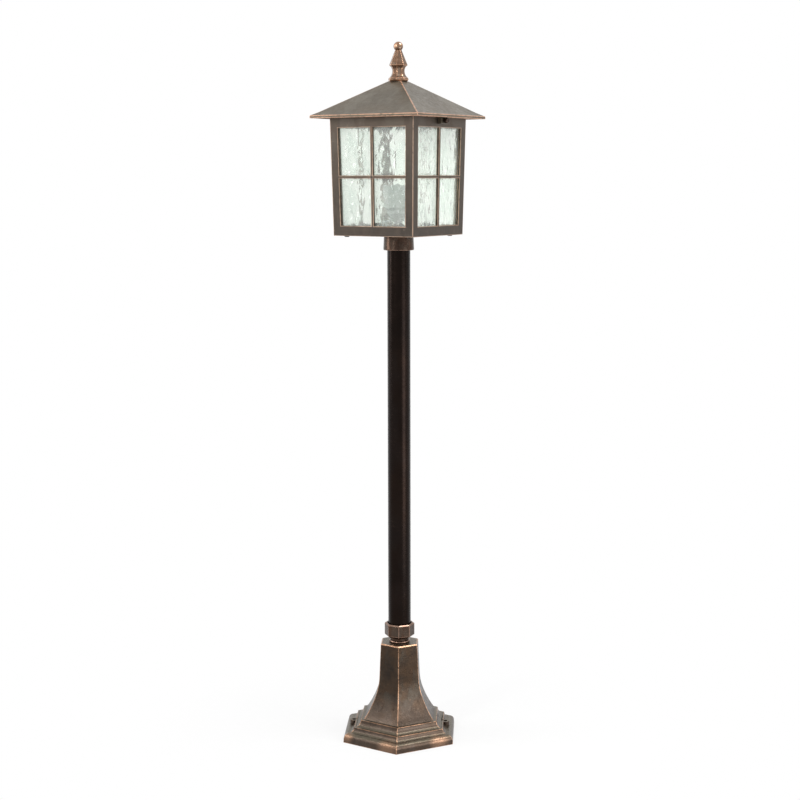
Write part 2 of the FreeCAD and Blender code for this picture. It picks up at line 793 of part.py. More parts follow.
def window_cells(name, degrees):
    """Make the four window cells of two opposite sides, left and right, low and high."""
    cells = []
    through = ("-body_top_half - overcut", "body_top_half + overcut")
    rows = (
        ("window_low", "window_middle - glazing_bar / 2"),
        ("window_middle + glazing_bar / 2", "window_top"),
    )
    for row, (low, high) in enumerate(rows):
        low_edge = f"{body_half(low)} - stile"
        high_edge = f"{body_half(high)} - stile"
        spans = (
            (("glazing_bar / 2", low_edge), ("glazing_bar / 2", high_edge)),
            ((f"-({low_edge})", "-glazing_bar / 2"), (f"-({high_edge})", "-glazing_bar / 2")),
        )
        for column, (low_x, high_x) in enumerate(spans):
            cells.append(tapered(
                f"{name}_{row}{column}", (low, high), low_x, through, high_x, through, degrees))
    return cells


def build_body():
    """Make the body casting: four leaning sides with window bars, and corner lugs inside."""
    shell = cut("body_shell", leaning("body_outer", "body_low", "body_top", "0"),
                leaning("body_inner", "body_low - overcut", "body_top + overcut", "body_wall"))
    windows = [cell for name, degrees in (("cell_y", 0), ("cell_x", 90))
               for cell in window_cells(name, degrees)]
    glazed = cut("body_with_windows", shell, *windows)
    additions = []
    holes = []
    lug_outer = f"{body_half('floor_top')} - body_wall / 2"
    for index, (sx, sy) in enumerate(((1, 1), (-1, 1), (-1, -1), (1, -1))):
        span = {1: ("lug_inner", lug_outer), -1: (f"-({lug_outer})", "-lug_inner")}
        additions.append(block(f"corner_lug_{index}", span[sx], span[sy], ("floor_top", "lug_top")))
        holes.append(cylinder(
            f"corner_hole_{index}", "corner_screw_radius", "floor_top - overcut",
            "collar_top + corner_screw_length + screw_hole_spare",
            f"{sx} * corner_screw_at", f"{sy} * corner_screw_at"))
        holes.append(cylinder(
            f"strip_hole_{index}", "strip_screw_radius", "lug_top - strip_screw_length",
            "lug_top + overcut", f"{sx} * strip_screw_at", f"{sy} * strip_screw_at"))
    for index, degrees in enumerate(QUARTERS):
        half = body_half("window_middle")
        additions.append(spoke(
            f"crossing_boss_{index}", "crossing_boss_radius", f"{half} - body_wall + crossing_boss_inset",
            f"{half} + crossing_boss_rise", "window_middle", degrees))
    node("body_frame", cut("body_frame", fuse("body_with_lugs", glazed, *additions), *holes))


def build_glazing():
    """Make the four panes and the corner strips and screws that hold them."""
    for label, degrees in (("front", 0), ("right", 90), ("back", 180), ("left", 270)):
        limits = []
        for z in ("glass_low", "glass_top"):
            wide = f"{body_half(z)} - stile + glass_lap"
            face = f"{body_half(z)} - body_wall - seat_gap"
            limits += [(f"-({wide})", wide), (f"-({face})", f"-({face}) + glass_sheet")]
        name = "glass_" + label
        node(name, tapered(name, ("glass_low", "glass_top"), *limits, degrees=degrees))
    low_leg = []
    high_leg = []
    for z, leg in (("glass_low", low_leg), ("glass_top", high_leg)):
        corner = f"({body_half(z)} - body_wall - glass_sheet - seat_gap * 2)"
        leg += [(f"{corner} - strip_leg", corner), (f"{corner} - strip_sheet", corner)]
    foot_outer = low_leg[0][1]
    foot_span = ("strip_screw_at - strip_foot_reach", foot_outer)
    foot = cut(
        "strip_foot",
        block("strip_foot_blank", foot_span, foot_span, ("glass_low", "glass_low + strip_sheet")),
        cylinder("strip_foot_hole", "strip_screw_radius + seat_gap", "glass_low - overcut",
                 "glass_low + strip_sheet + overcut", "strip_screw_at", "strip_screw_at"))
    heights = ("glass_low", "glass_top")
    strip = fuse(
        "strip_one",
        tapered("strip_leg_x", heights, low_leg[0], low_leg[1], high_leg[0], high_leg[1]),
        tapered("strip_leg_y", heights, low_leg[1], low_leg[0], high_leg[1], high_leg[0]),
        foot)
    copies("glass_strips", strip, [("0", "0", "0", about_z(degrees)) for degrees in QUARTERS])
    screw = pan_screw("strip_screw_one", "strip_screw_radius - fit_gap", "strip_screw_length",
                      "strip_head_radius", "strip_head_height")
    spots = []
    for degrees in QUARTERS:
        x, y = polar("strip_screw_at * sqrt(2)", degrees + 45)
        spots.append((x, y, "glass_low + strip_sheet", FreeCAD.Rotation()))
    copies("strip_screws", screw, spots)


# ---- lantern: lampholder and terminals ----

def build_bracket():
    """Make the bridge that carries the lampholder over the lock nut, and its screws."""
    outer = "bracket_half + bracket_foot"
    body = doc.addObject("PartDesign::Body", "bracket_blank")
    pad = body.newObject("PartDesign::Pad", "bracket_pad")
    pad.Profile = body_sketch(body, "bracket_section", "XZ_Plane", mirrored([
        ("bracket_half - bracket_sheet", "bracket_low"),
        ("bracket_half - bracket_sheet", "floor_top"),
        (outer, "floor_top"),
        (outer, "floor_top + bracket_sheet"),
        ("bracket_half", "floor_top + bracket_sheet"),
        ("bracket_half", "bracket_top"),
    ]))
    pad.Midplane = True
    bind(pad, Length="bracket_width")
    holes = [cylinder("bracket_nipple_hole", "nipple_radius + fit_gap",
                      "bracket_low - overcut", "bracket_top + overcut")]
    spots = []
    for index, sign in enumerate(("-", "")):
        x = sign + "foot_hole_x"
        holes.append(cylinder(
            f"bracket_foot_hole_{index}", "small_screw_radius + seat_gap", "floor_top - overcut",
            "floor_top + bracket_sheet + overcut", x))
        spots.append((x, "0", "floor_top + bracket_sheet", FreeCAD.Rotation()))
    node("holder_bracket", cut("holder_bracket", body, *holes))
    screw = pan_screw(
        "bracket_screw_one", "small_screw_radius - fit_gap", "bracket_sheet + small_screw_tail",
        "small_head_radius", "small_head_height")
    copies("bracket_screws", screw, spots)


def build_holder():
    """Make the lampholder: nipple, nut, cap, base, sleeve, core, contact and threaded shell."""
    node("holder_nipple", ring(
        "holder_nipple", "nipple_radius", "nipple_bore_radius",
        "bracket_low - nipple_tail", "bracket_top + nipple_reach"))
    hex_nut("holder_nut", "nipple_nut_half", "nipple_radius + fit_gap",
            "bracket_low - nipple_nut_height", "bracket_low")
    node("lampholder_cap", turned("lampholder_cap", [
        ("nipple_radius + fit_gap", "bracket_top"),
        ("cap_low_radius", "bracket_top"),
        ("cap_top_radius", "bracket_top + cap_cone"),
        ("cap_top_radius", "cap_top"),
        ("cap_top_radius - cap_wall", "cap_top"),
        ("cap_top_radius - cap_wall", "bracket_top + cap_cone + cap_wall / 2"),
        ("cap_low_radius - cap_wall", "bracket_top + cap_wall"),
        ("nipple_radius + fit_gap", "bracket_top + cap_wall"),
    ]))
    node("lampholder_base", turned("lampholder_base", [
        ("bush_bore_radius", "cap_top"),
        ("cap_top_radius", "cap_top"),
        ("holder_radius", "cap_top + holder_shoulder"),
        ("holder_radius", "core_low"),
        ("bush_bore_radius", "core_low"),
    ]))
    node("lampholder_sleeve", turned("lampholder_sleeve", [
        ("holder_bore_radius", "core_low"),
        ("holder_radius", "core_low"),
        ("holder_radius", "holder_top - holder_rim_bevel"),
        ("holder_radius - holder_rim_bevel", "holder_top"),
        ("holder_bore_radius", "holder_top"),
    ]))
    node("lampholder_core", turned("lampholder_core", [
        ("core_bore_radius", "core_low"),
        ("holder_bore_radius - seat_gap", "core_low"),
        ("holder_bore_radius - seat_gap", "socket_low"),
        ("core_well_radius", "socket_low"),
        ("core_well_radius", "contact_low"),
        ("core_bore_radius", "contact_low"),
    ]))
    node("lampholder_shell", ring(
        "lampholder_shell", "socket_radius + socket_sheet", "socket_radius", "socket_low", "socket_top"))
    spring = block(
        "contact_strip", ("-contact_width", "contact_width"),
        ("-contact_width / 2", "contact_width / 2"), ("contact_low", "contact_low + contact_sheet"))
    crown = cylinder("contact_crown", "contact_width / 2", "contact_low", "contact_low + contact_rise")
    node("lampholder_contact", fuse("lampholder_contact", spring, crown))


def build_terminals():
    """Make the supply terminal block with its screws, and the earth screw with its washer."""
    half = "block_length / 2"
    blank = block(
        "block_blank", (f"-({half})", half),
        ("block_at - block_width / 2", "block_at + block_width / 2"),
        ("floor_top", "floor_top + block_height"))
    top = "floor_top + block_height"
    cuts = [cylinder("block_fixing", "strip_screw_radius + seat_gap", "floor_top - overcut",
                     f"{top} + overcut", "0", "block_at")]
    spots = []
    for index, offset in enumerate(("-way_pitch", "way_pitch")):
        way = bind(doc.addObject("Part::Cylinder", f"way_{index}"), Radius="way_radius",
                   Height="block_width + overcut * 2")
        cuts.append(place(way, offset, "block_at - block_width / 2 - overcut", "floor_top + way_rise",
                          FreeCAD.Rotation(FreeCAD.Vector(1, 0, 0), -90)))
        cuts.append(cylinder(f"well_{index}", "well_radius", f"{top} - well_depth", f"{top} + overcut",
                             offset, "block_at"))
        spots.append((offset, "block_at", f"{top} - well_depth", FreeCAD.Rotation()))
    node("terminal_block", cut("terminal_block", blank, *cuts))
    wire_screw = turned("wire_screw", [
        ("0", "0"),
        ("well_radius - fit_gap", "0"),
        ("well_radius - fit_gap", "wire_screw_height"),
        ("0", "wire_screw_height"),
    ])
    copies("terminal_screws", wire_screw, spots)
    fixing = pan_screw("block_screw", "strip_screw_radius - fit_gap", "block_height + small_screw_tail",
                       "strip_head_radius", "strip_head_height")
    node("block_screw", place(fixing, "0", "block_at", top))
    washer = cylinder("earth_washer_blank", "earth_washer_radius", "floor_top",
                      "floor_top + washer_sheet", "-earth_at", "earth_at")
    washer_hole = cylinder("earth_washer_hole", "small_screw_radius + seat_gap", "floor_top - overcut",
                           "floor_top + washer_sheet + overcut", "-earth_at", "earth_at")
    node("earth_washer", cut("earth_washer", washer, washer_hole))
    earth = pan_screw("earth_screw", "small_screw_radius - fit_gap", "washer_sheet + small_screw_tail",
                      "small_head_radius", "small_head_height")
    node("earth_screw", place(earth, "-earth_at", "earth_at", "floor_top + washer_sheet"))


# ---- roof, thumbscrews and finial ----

def build_roof():
    """Make the roof: four slopes, turned-down edge, inner seat and skirt, two screw lugs."""
    flare_x = "eave_half - flare_width"
    outer = faceted("roof_outer", SQUARE_SIDES, 0, [
        ("eave_half", "eave_low"),
        ("eave_half", "eave_top"),
        (flare_x, "eave_top + flare_rise"),
        ("roof_top_half", "roof_top"),
    ])
    inner = faceted("roof_inner", SQUARE_SIDES, 0, [
        ("eave_half - roof_wall", "eave_low - overcut"),
        ("eave_half - roof_wall", "eave_top - roof_wall + flare_slope * roof_wall"),
        (flare_x, "eave_top + flare_rise - roof_wall"),
        ("roof_top_half", "roof_inner_top"),
    ])
    shell = cut("roof_slopes", outer, inner)
    skirt = cut(
        "roof_skirt",
        square_block("skirt_blank", "skirt_outer", "eave_low + skirt_lift", "skirt_top"),
        square_block("skirt_low_hollow", "skirt_inner", "eave_low - overcut", "seat_low"),
        square_block("skirt_middle_hollow", "body_top_half - body_wall + seat_inset",
                     "seat_low - overcut", "seat_low + seat_ledge"),
        square_block("skirt_high_hollow", "skirt_inner", "seat_low + seat_ledge", "skirt_top + overcut"))
    lugs = []
    holes = [cylinder("stud_hole", "stud_radius + stud_gap", "roof_inner_top - overcut",
                      "roof_top + overcut")]
    for index, sign in enumerate((1, -1)):
        span = ("lug_face", "lug_back") if sign > 0 else ("-lug_back", "-lug_face")
        lugs.append(block(f"screw_lug_{index}", span, ("-lug_width / 2", "lug_width / 2"),
                          ("thumb_z - lug_drop", "eave_low + skirt_lift + skirt_wall")))
        holes.append(spoke(f"thumb_hole_{index}", "thumb_radius + fit_gap", "lug_face - overcut",
                           "lug_back + overcut", "thumb_z", 90 - 90 * sign))
    node("roof_shell", cut("roof_shell", fuse("roof_with_lugs", shell, skirt, *lugs), *holes))


def build_thumbscrews():
    """Make the two thumbscrews, each pointing outwards through its lug."""
    neck = "lug_back + thumb_neck - (thumb_tip)"
    for label, degrees in (("right", 0), ("left", 180)):
        screw = turned("roof_screw_" + label, [
            ("0", "0"),
            ("thumb_radius - thumb_tip_bevel", "0"),
            ("thumb_radius", "thumb_tip_bevel"),
            ("thumb_radius", neck),
            ("thumb_head_radius - thumb_bevel", neck),
            ("thumb_head_radius", f"{neck} + thumb_bevel"),
            ("thumb_head_radius", f"{neck} + thumb_head_length - thumb_bevel"),
            ("thumb_head_radius - thumb_bevel", f"{neck} + thumb_head_length"),
            ("0", f"{neck} + thumb_head_length"),
        ])
        x, y = polar("thumb_tip", degrees)
        node("roof_screw_" + label, place(screw, x, y, "thumb_z", outwards(degrees)))


def build_finial():
    """Make the octagonal finial with its ball, and the stud, washer and nut that hold it."""
    cone = faceted("finial_cone", OCTAGON_SIDES, 0, [
        ("finial_foot_low_half", "finial_low"),
        ("finial_foot_half", "finial_low + finial_foot_rise"),
        ("finial_foot_half - finial_foot_edge", "finial_foot_top"),
        ("finial_neck_half", "finial_neck_low", "finial_cove", -1),
        ("finial_neck_half", "finial_neck_top"),
        ("finial_under_half", "finial_under_z"),
        ("finial_cone_half", "finial_cone_z"),
        ("finial_cone_half", "finial_edge_z"),
        ("finial_tip_half", "finial_tip_z"),
    ])
    ball = bind(doc.addObject("Part::Sphere", "finial_ball"), Radius="ball_radius")
    place(ball, z="finial_tip_z + ball_radius - ball_sink")
    node("finial", cut(
        "finial", fuse("finial_blank", cone, ball),
        cylinder("finial_thread", "stud_radius", "finial_low - overcut",
                 "finial_low + stud_depth + overcut")))
    node("finial_stud", cylinder(
        "finial_stud", "stud_radius - fit_gap", "roof_inner_top - stud_tail", "finial_low + stud_depth"))
    node("finial_washer", ring(
        "finial_washer", "stud_washer_radius", "stud_radius + stud_gap",
        "roof_inner_top - washer_sheet", "roof_inner_top"))
    hex_nut("finial_nut", "stud_nut_half", "stud_radius",
            "roof_inner_top - washer_sheet - stud_nut_height", "roof_inner_top - washer_sheet")


# ---- build, test and write ----

def test_objects():
    """Stop with a message if any object failed or any piece is empty or invalid."""
    for thing in doc.Objects:
        if {"Invalid", "Error"} & set(thing.State):
            raise RuntimeError(f"{thing.Name} failed: {thing.State}")
    for label, thing in nodes.items():
        if thing.Shape.isNull() or not thing.Shape.isValid() or not thing.Shape.Solids:
            raise RuntimeError(f"{label} has no valid solid")


build_base()
build_coupling()
build_pole()
build_collar()
build_floor()
build_body()
build_glazing()
build_bracket()
build_holder()
build_terminals()
build_roof()
build_thumbscrews()
build_finial()
doc.recompute()
test_objects()
os.makedirs("parts", exist_ok=True)
for label, thing in nodes.items():
    thing.Shape.exportStep(f"parts/{label}.step")
    print(f"{label}: {len(thing.Shape.Solids)} solid, {thing.Shape.Volume / 1000:.2f} cm3")
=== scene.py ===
import logging
import math
from dataclasses import dataclass
from enum import Enum
from typing import Any, Iterable, Sequence, Union

import bmesh
import bpy
from mathutils import Matrix, Vector, noise


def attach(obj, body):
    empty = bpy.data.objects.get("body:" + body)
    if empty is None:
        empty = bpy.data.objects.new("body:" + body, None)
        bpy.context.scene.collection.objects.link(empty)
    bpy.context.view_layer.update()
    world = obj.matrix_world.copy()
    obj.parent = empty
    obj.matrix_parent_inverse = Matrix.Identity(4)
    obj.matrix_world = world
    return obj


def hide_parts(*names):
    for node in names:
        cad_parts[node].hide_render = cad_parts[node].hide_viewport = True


# Garden post lantern in aged bronze with water glass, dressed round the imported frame.
# Sizes are in millimetres, as in the part's source; meshes are made metres when they are finished.

for startup in ("Cube", "Light", "Camera"):
    if startup in bpy.data.objects:
        bpy.data.objects.remove(bpy.data.objects[startup])
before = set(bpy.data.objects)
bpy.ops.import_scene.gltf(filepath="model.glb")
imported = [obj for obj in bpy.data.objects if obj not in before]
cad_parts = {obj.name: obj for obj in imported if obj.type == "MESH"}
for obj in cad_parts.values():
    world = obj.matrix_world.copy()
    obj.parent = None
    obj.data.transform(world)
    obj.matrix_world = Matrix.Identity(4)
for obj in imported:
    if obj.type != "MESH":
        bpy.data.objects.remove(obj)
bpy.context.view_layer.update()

MILLI = 0.001
SHARP = math.radians(22)
CREASE = math.radians(34)
WEAR = "wear"
WHITE = "FFFFFF"
Colour = tuple[float, float, float]
Number = Union[float, "Value"]
Paint = Union[str, Colour, "Value"]
log = logging.getLogger("post_lantern")


def tone(code: str) -> Colour:
    """Turn a screen colour into the linear colour that a shader takes.

    Args:
        code: six hexadecimal digits, red, green and blue.

    Returns:
        The colour as three linear numbers.
    """
    parts = [int(code[place:place + 2], 16) / 255 for place in (0, 2, 4)]
    red, green, blue = (part / 12.92 if part < 0.04045 else ((part + 0.055) / 1.055) ** 2.4
                        for part in parts)
    return red, green, blue


# ---- shader maths ----

class Value:
    """One output socket of a material's tree; sums on it add Math nodes."""

    def __init__(self, tree: "Tree", socket: bpy.types.NodeSocket) -> None:
        """Keep the tree and the socket."""
        self.tree = tree
        self.socket = socket

    def __add__(self, other: Number) -> "Value":
        """Add a number or a value."""
        return self.tree.sum("ADD", self, other)

    __radd__ = __add__

    def __mul__(self, other: Number) -> "Value":
        """Multiply by a number or a value."""
        return self.tree.sum("MULTIPLY", self, other)

    __rmul__ = __mul__

    def __sub__(self, other: Number) -> "Value":
        """Take a number or a value away."""
        return self.tree.sum("SUBTRACT", self, other)

    def __rsub__(self, other: Number) -> "Value":
        """Take this value away from a number."""
        return self.tree.sum("SUBTRACT", other, self)

    def over(self, other: Number) -> "Value":
        """Give the larger of this and another value."""
        return self.tree.sum("MAXIMUM", self, other)

    def ease(self, low: float, high: float) -> "Value":
        """Rise smoothly from 0 at low to 1 at high."""
        return self.tree.node(
            "ShaderNodeMapRange", {"interpolation_type": "SMOOTHSTEP"},
            {"Value": self, "From Min": low, "From Max": high})


class Tree:
    """The node tree of one new material or of the world."""

    def __init__(self, tree: bpy.types.NodeTree) -> None:
        """Empty the tree.

        Args:
            tree: the node tree of a material or world.
        """
        self.tree = tree
        self.tree.nodes.clear()

    def node(self, kind: str, settings: dict[str, Any] | None = None,
             sockets: dict[str | int, Any] | None = None, out: str | int = 0) -> Value:
        """Add a node.

        Args:
            kind: the node's type name.
            settings: its settings, set before the sockets.
            sockets: numbers, colours or values for its inputs, by name or place; a colour is
                three linear numbers or a screen colour's six digits.
            out: the output to return.

        Returns:
            The chosen output.
        """
        made = self.tree.nodes.new(kind)
        for name, setting in (settings or {}).items():
            setattr(made, name, setting)
        for name, given in (sockets or {}).items():
            socket = made.inputs[name]
            if isinstance(given, Value):
                self.tree.links.new(given.socket, socket)
            elif socket.type == "RGBA":
                socket.default_value = (*(tone(given) if isinstance(given, str) else given), 1.0)
            else:
                socket.default_value = given
        return Value(self, made.outputs[out] if made.outputs else made.inputs[0])

    def sum(self, operation: str, first: Number, second: Number) -> Value:
        """Add one Math node for two numbers or values."""
        return self.node("ShaderNodeMath", {"operation": operation}, {0: first, 1: second})

    def mix(self, share: Number, first: Paint, second: Paint) -> Value:
        """Mix two colours.

        Args:
            share: how much of the second colour, from 0 to 1.
            first: the first colour.
            second: the second colour.

        Returns:
            The mixed colour.
        """
        settings = {"data_type": "RGBA", "clamp_factor": True}
        return self.node("ShaderNodeMix", settings, {0: share, 6: first, 7: second}, out=2)

    def here(self) -> Value:
        """Give the piece's own coordinates, in metres."""
        return self.node("ShaderNodeTexCoord", out="Object")

    def place(self, stretch: tuple[float, float, float] = (1.0, 1.0, 1.0)) -> Value:
        """Give the piece's own coordinates, stretched."""
        return self.node("ShaderNodeMapping", None, {"Vector": self.here(), "Scale": stretch})

    def part(self, vector: Value, axis: str) -> Value:
        """Give one axis of a vector."""
        return self.node("ShaderNodeSeparateXYZ", None, {0: vector}, out=axis)

    def noise(self, place: Value, scale: float, detail: float = 4.0, rough: float = 0.55,
              warp: float = 0.0) -> Value:
        """Give a noise of about even spread between 0 and 1.

        Args:
            place: where it is read.
            scale: how many of its largest clouds fit in a metre.
            detail: how many finer layers it has.
            rough: how strong the finer layers are.
            warp: how far it is twisted.

        Returns:
            The noise.
        """
        raw = self.node("ShaderNodeTexNoise", None, {
            "Vector": place, "Scale": scale, "Detail": detail, "Roughness": rough,
            "Distortion": warp})
        return raw.ease(0.3, 0.7)

    def attribute(self, name: str) -> Value:
        """Give a number that the mesh carries."""
        return self.node("ShaderNodeAttribute", {"attribute_name": name}, out="Fac")

    def upward(self) -> Value:
        """Give how far a surface faces up, from -1 to 1."""
        return self.part(self.node("ShaderNodeNewGeometry", out="Normal"), "Z")

    def height(self) -> Value:
        """Give the height above the ground in metres."""
        return self.part(self.here(), "Z")

    def sunk_behind(self, half: float, low: float, lean: float) -> Value:
        """Tell how far a spot lies behind a leaning square outside.

        Args:
            half: the outside's half width at its foot, in metres.
            low: the height of its foot.
            lean: how much the half width grows with height.

        Returns:
            0 on the outside, 1 from 2 mm behind it.
        """
        aside, ahead = (self.sum("ABSOLUTE", self.part(self.here(), axis), 0.0) for axis in "XY")
        across = aside.over(ahead)
        outside = half + (self.height() - low) * lean
        return (outside - across).ease(0.0007, 0.0022)

    def bump(self, height: Value, depth: float) -> Value:
        """Turn a height into a normal; depth is in metres."""
        return self.node("ShaderNodeBump", None, {
            "Height": height, "Distance": depth, "Strength": 1.0})

    def shader(self, sockets: dict[str, Any]) -> Value:
        """Add the main surface shader."""
        return self.node("ShaderNodeBsdfPrincipled", None, sockets)

    def blend(self, share: Value, first: Value, second: Value) -> Value:
        """Blend two shaders."""
        return self.node("ShaderNodeMixShader", None, {0: share, 1: first, 2: second})

    def ray(self, kind: str) -> Value:
        """Give 1 for the rays of a kind, such as "Is Camera Ray"."""
        return self.node("ShaderNodeLightPath", out=kind)

    def output(self, shader: Value, target: str = "Material") -> None:
        """Send a shader to the material's or the world's output."""
        self.node(f"ShaderNodeOutput{target}", None, {0: shader})


def new_material(name: str) -> tuple[bpy.types.Material, Tree]:
    """Make a material with an empty tree.

    Args:
        name: the material's name.

    Returns:
        The material and its tree.
    """
    material = bpy.data.materials.new(name)
    material.use_nodes = True
    return material, Tree(material.node_tree)


# ---- finishes ----

@dataclass(frozen=True)
class AgedBronze:
    """Dark antiqued bronze under a satin coat, rubbed to copper where hands and tools reach it,
    with painted light and shade where a finish asks for them.
    """

    name: str
    dark: str
    warm: str
    cool: str
    copper: str = "C79A7C"
    cloud: float = 22.0
    speck: float = 160.0
    warm_share: float = 0.7
    cool_share: float = 0.6
    rubbed: float = 1.0
    stray: float = 0.12
    dust: str = "77736A"
    dust_share: float = 0.0
    metal: float = 0.75
    gloss: float = 0.5
    rough: float = 0.42
    relief: float = 0.00022
    brushed: float = 0.5
    # painted light towards the ground: this colour, and the heights in metres between which it
    # fades away; on the foot it is a lighter painted reflection of the floor, on the body a
    # painted darkening of the lower part
    low: str = "4A3B38"
    painted_light_span: tuple[float, float] | None = None
    # painted shade inside the windows: the dark colour of the reveals, and the outside that they
    # lie behind, as Tree.sunk_behind has it
    painted_reveal_shade: str = "2A2420"
    shaded_reveal_face: tuple[float, float, float] | None = None
    # painted highlights: copper spots that stand for reflections on the foot's rounded moulding;
    # x, y, z and reach, in metres
    painted_highlight_spots: tuple[tuple[float, float, float, float], ...] = ()

    def make(self) -> bpy.types.Material:
        """Make the material.

        Returns:
            Mottled bronze with brush marks, worn edges and dust on what faces up, and painted
            light where asked: a gradient towards the ground, painted shade in the window reveals
            and painted highlight spots.
        """
        material, tree = new_material(self.name)
        here = tree.place()
        cloud = tree.noise(here, self.cloud, 5.0, 0.6, 0.4)
        drift = tree.noise(tree.place((1.0, 1.0, 0.45)), self.cloud * 2.3, 4.0, 0.55)
        speck = tree.noise(here, self.speck, 6.0, 0.7)
        up_brush = tree.noise(tree.place((1.0, 1.0, 0.03)), 1400.0, 3.0, 0.6)
        cross_brush = tree.noise(tree.place((0.03, 0.03, 1.0)), 1300.0, 3.0, 0.6)
        base = tree.mix(cloud * self.warm_share, self.dark, self.warm)
        base = tree.mix(drift.ease(0.35, 0.9) * self.cool_share, base, self.cool)
        # painted light: blend towards the low colour below the given heights
        if self.painted_light_span:
            painted_low_light = 1.0 - tree.height().ease(*self.painted_light_span)
            base = tree.mix(painted_low_light * (0.45 + 0.5 * drift), base, self.low)
        if self.dust_share:
            settled = tree.upward().ease(0.55, 0.98) * (0.55 + 0.45 * speck)
            base = tree.mix(settled * self.dust_share, base, self.dust)
        # painted shade: darken the window reveals that lie behind the outside face
        if self.shaded_reveal_face:
            base = tree.mix(tree.sunk_behind(*self.shaded_reveal_face) * 0.75, base, self.painted_reveal_shade)
        grain = up_brush * 0.5 + cross_brush * 0.5
        base = tree.mix((grain - 0.5) * 0.35 * self.brushed + 0.12, base, self.cool)
        edge = tree.attribute(WEAR) * (0.45 + 0.85 * speck) * (0.55 + 0.6 * drift)
        bare = edge.ease(0.18, 0.62) * self.rubbed
        scuffs = (speck * drift * grain).ease(0.42, 0.8) * self.stray
        rubbed = bare.over(scuffs)
        # painted highlights: copper spots added to the worn copper, standing for reflections
        for x, y, z, reach in self.painted_highlight_spots:
            away = tree.node("ShaderNodeVectorMath", {"operation": "DISTANCE"},
                             {0: here, 1: (x, y, z)}, out="Value")
            rubbed = rubbed.over((1.0 - away.ease(0.2 * reach, reach)) * (0.25 + 0.4 * cloud))
        # copper for worn edges and scuffs, and for the painted highlight spots
        colour = tree.mix(rubbed, base, self.copper)
        rough = self.rough + 0.16 * (speck - 0.5) + 0.1 * (grain - 0.5) - 0.08 * rubbed
        relief = cloud * 0.35 + speck * 0.3 + grain * 0.35 * self.brushed
        tree.output(tree.shader({
            "Base Color": colour, "Metallic": self.metal, "Roughness": rough,
            "Specular IOR Level": self.gloss, "Normal": tree.bump(relief, self.relief)}))
        return material


@dataclass(frozen=True)
class PlainMetal:
    """Plated or bare small hardware with fine turning marks and a little tarnish."""

    name: str
    bright: str
    dull: str
    rough: float = 0.34
    metal: float = 1.0
    scale: float = 260.0

    def make(self) -> bpy.types.Material:
        """Make the material.

        Returns:
            Metal with specks, tarnish clouds and fine marks.
        """
        material, tree = new_material(self.name)
        cloud = tree.noise(tree.place(), self.scale * 0.35, 4.0)
        speck = tree.noise(tree.place(), self.scale * 3.0, 5.0, 0.7)
        marks = tree.noise(tree.place((1.0, 1.0, 12.0)), self.scale * 2.0, 3.0)
        colour = tree.mix(cloud * 0.7 + speck * 0.2, self.bright, self.dull)
        tree.output(tree.shader({
            "Base Color": colour, "Metallic": self.metal,
            "Roughness": self.rough + 0.2 * (cloud - 0.4) + 0.1 * (speck - 0.5),
            "Normal": tree.bump(marks * 0.5 + speck * 0.5, 0.00006)}))
        return material


@dataclass(frozen=True)
class Moulded:
    """Glazed ceramic, moulded plastic or rubber: small pores, faint clouds, a soft gloss."""

    name: str
    colour: str
    shade: str
    rough: float = 0.35
    grain: float = 500.0
    relief: float = 0.00005
    coat: float = 0.0

    def make(self) -> bpy.types.Material:
        """Make the material.

        Returns:
            A dielectric with clouded colour, pores and uneven gloss.
        """
        material, tree = new_material(self.name)
        cloud = tree.noise(tree.place(), 60.0, 4.0, 0.6, 0.3)
        pores = tree.noise(tree.place(), self.grain * 2.0, 5.0, 0.7)
        grime = tree.noise(tree.place((1.0, 1.0, 0.3)), 130.0, 5.0, 0.65)
        colour = tree.mix((cloud * 0.5 + grime * 0.4) * 0.8, self.colour, self.shade)
        tree.output(tree.shader({
            "Base Color": colour, "Roughness": self.rough + 0.15 * (grime - 0.4),
            "Coat Weight": self.coat,
            "Normal": tree.bump(pores * 0.6 + cloud * 0.4, self.relief)}))
        return material


@dataclass(frozen=True)
class WaterGlass:
    """Clear pale glass with drawn ripples and seeds; the ripples are in the mesh as well."""

    name: str
    tint: str = "FAFDF9"
    shade: str = "EAF3EC"
    ripple: float = 58.0
    depth: float = 0.0009
    index: float = 1.48
    clear: float = 0.85

    def make(self) -> bpy.types.Material:
        """Make the material.

        Returns:
            Refracting glass that lets the studio's light reach what is inside.
        """
        material, tree = new_material(self.name)
        drawn = tree.place((1.0, 1.0, 0.7))
        waves = tree.noise(drawn, self.ripple, 2.0, 0.45, 0.6)
        cells = tree.node("ShaderNodeTexVoronoi", {"feature": "SMOOTH_F1"}, {
            "Vector": drawn, "Scale": self.ripple * 2.0, "Smoothness": 0.8})
        seeds = tree.noise(tree.place(), 420.0, 2.0, 0.5)
        relief = waves * 0.35 + cells * 1.1 + seeds * 0.015
        glass = tree.shader({
            "Base Color": tree.mix(waves * 0.6, self.tint, self.shade), "Roughness": 0.03,
            "IOR": self.index, "Transmission Weight": self.clear,
            "Normal": tree.bump(relief, self.depth)})
        clear = tree.node("ShaderNodeBsdfTransparent", None, {"Color": self.tint})
        tree.output(tree.blend(tree.ray("Is Shadow Ray"), glass, clear))
        return material


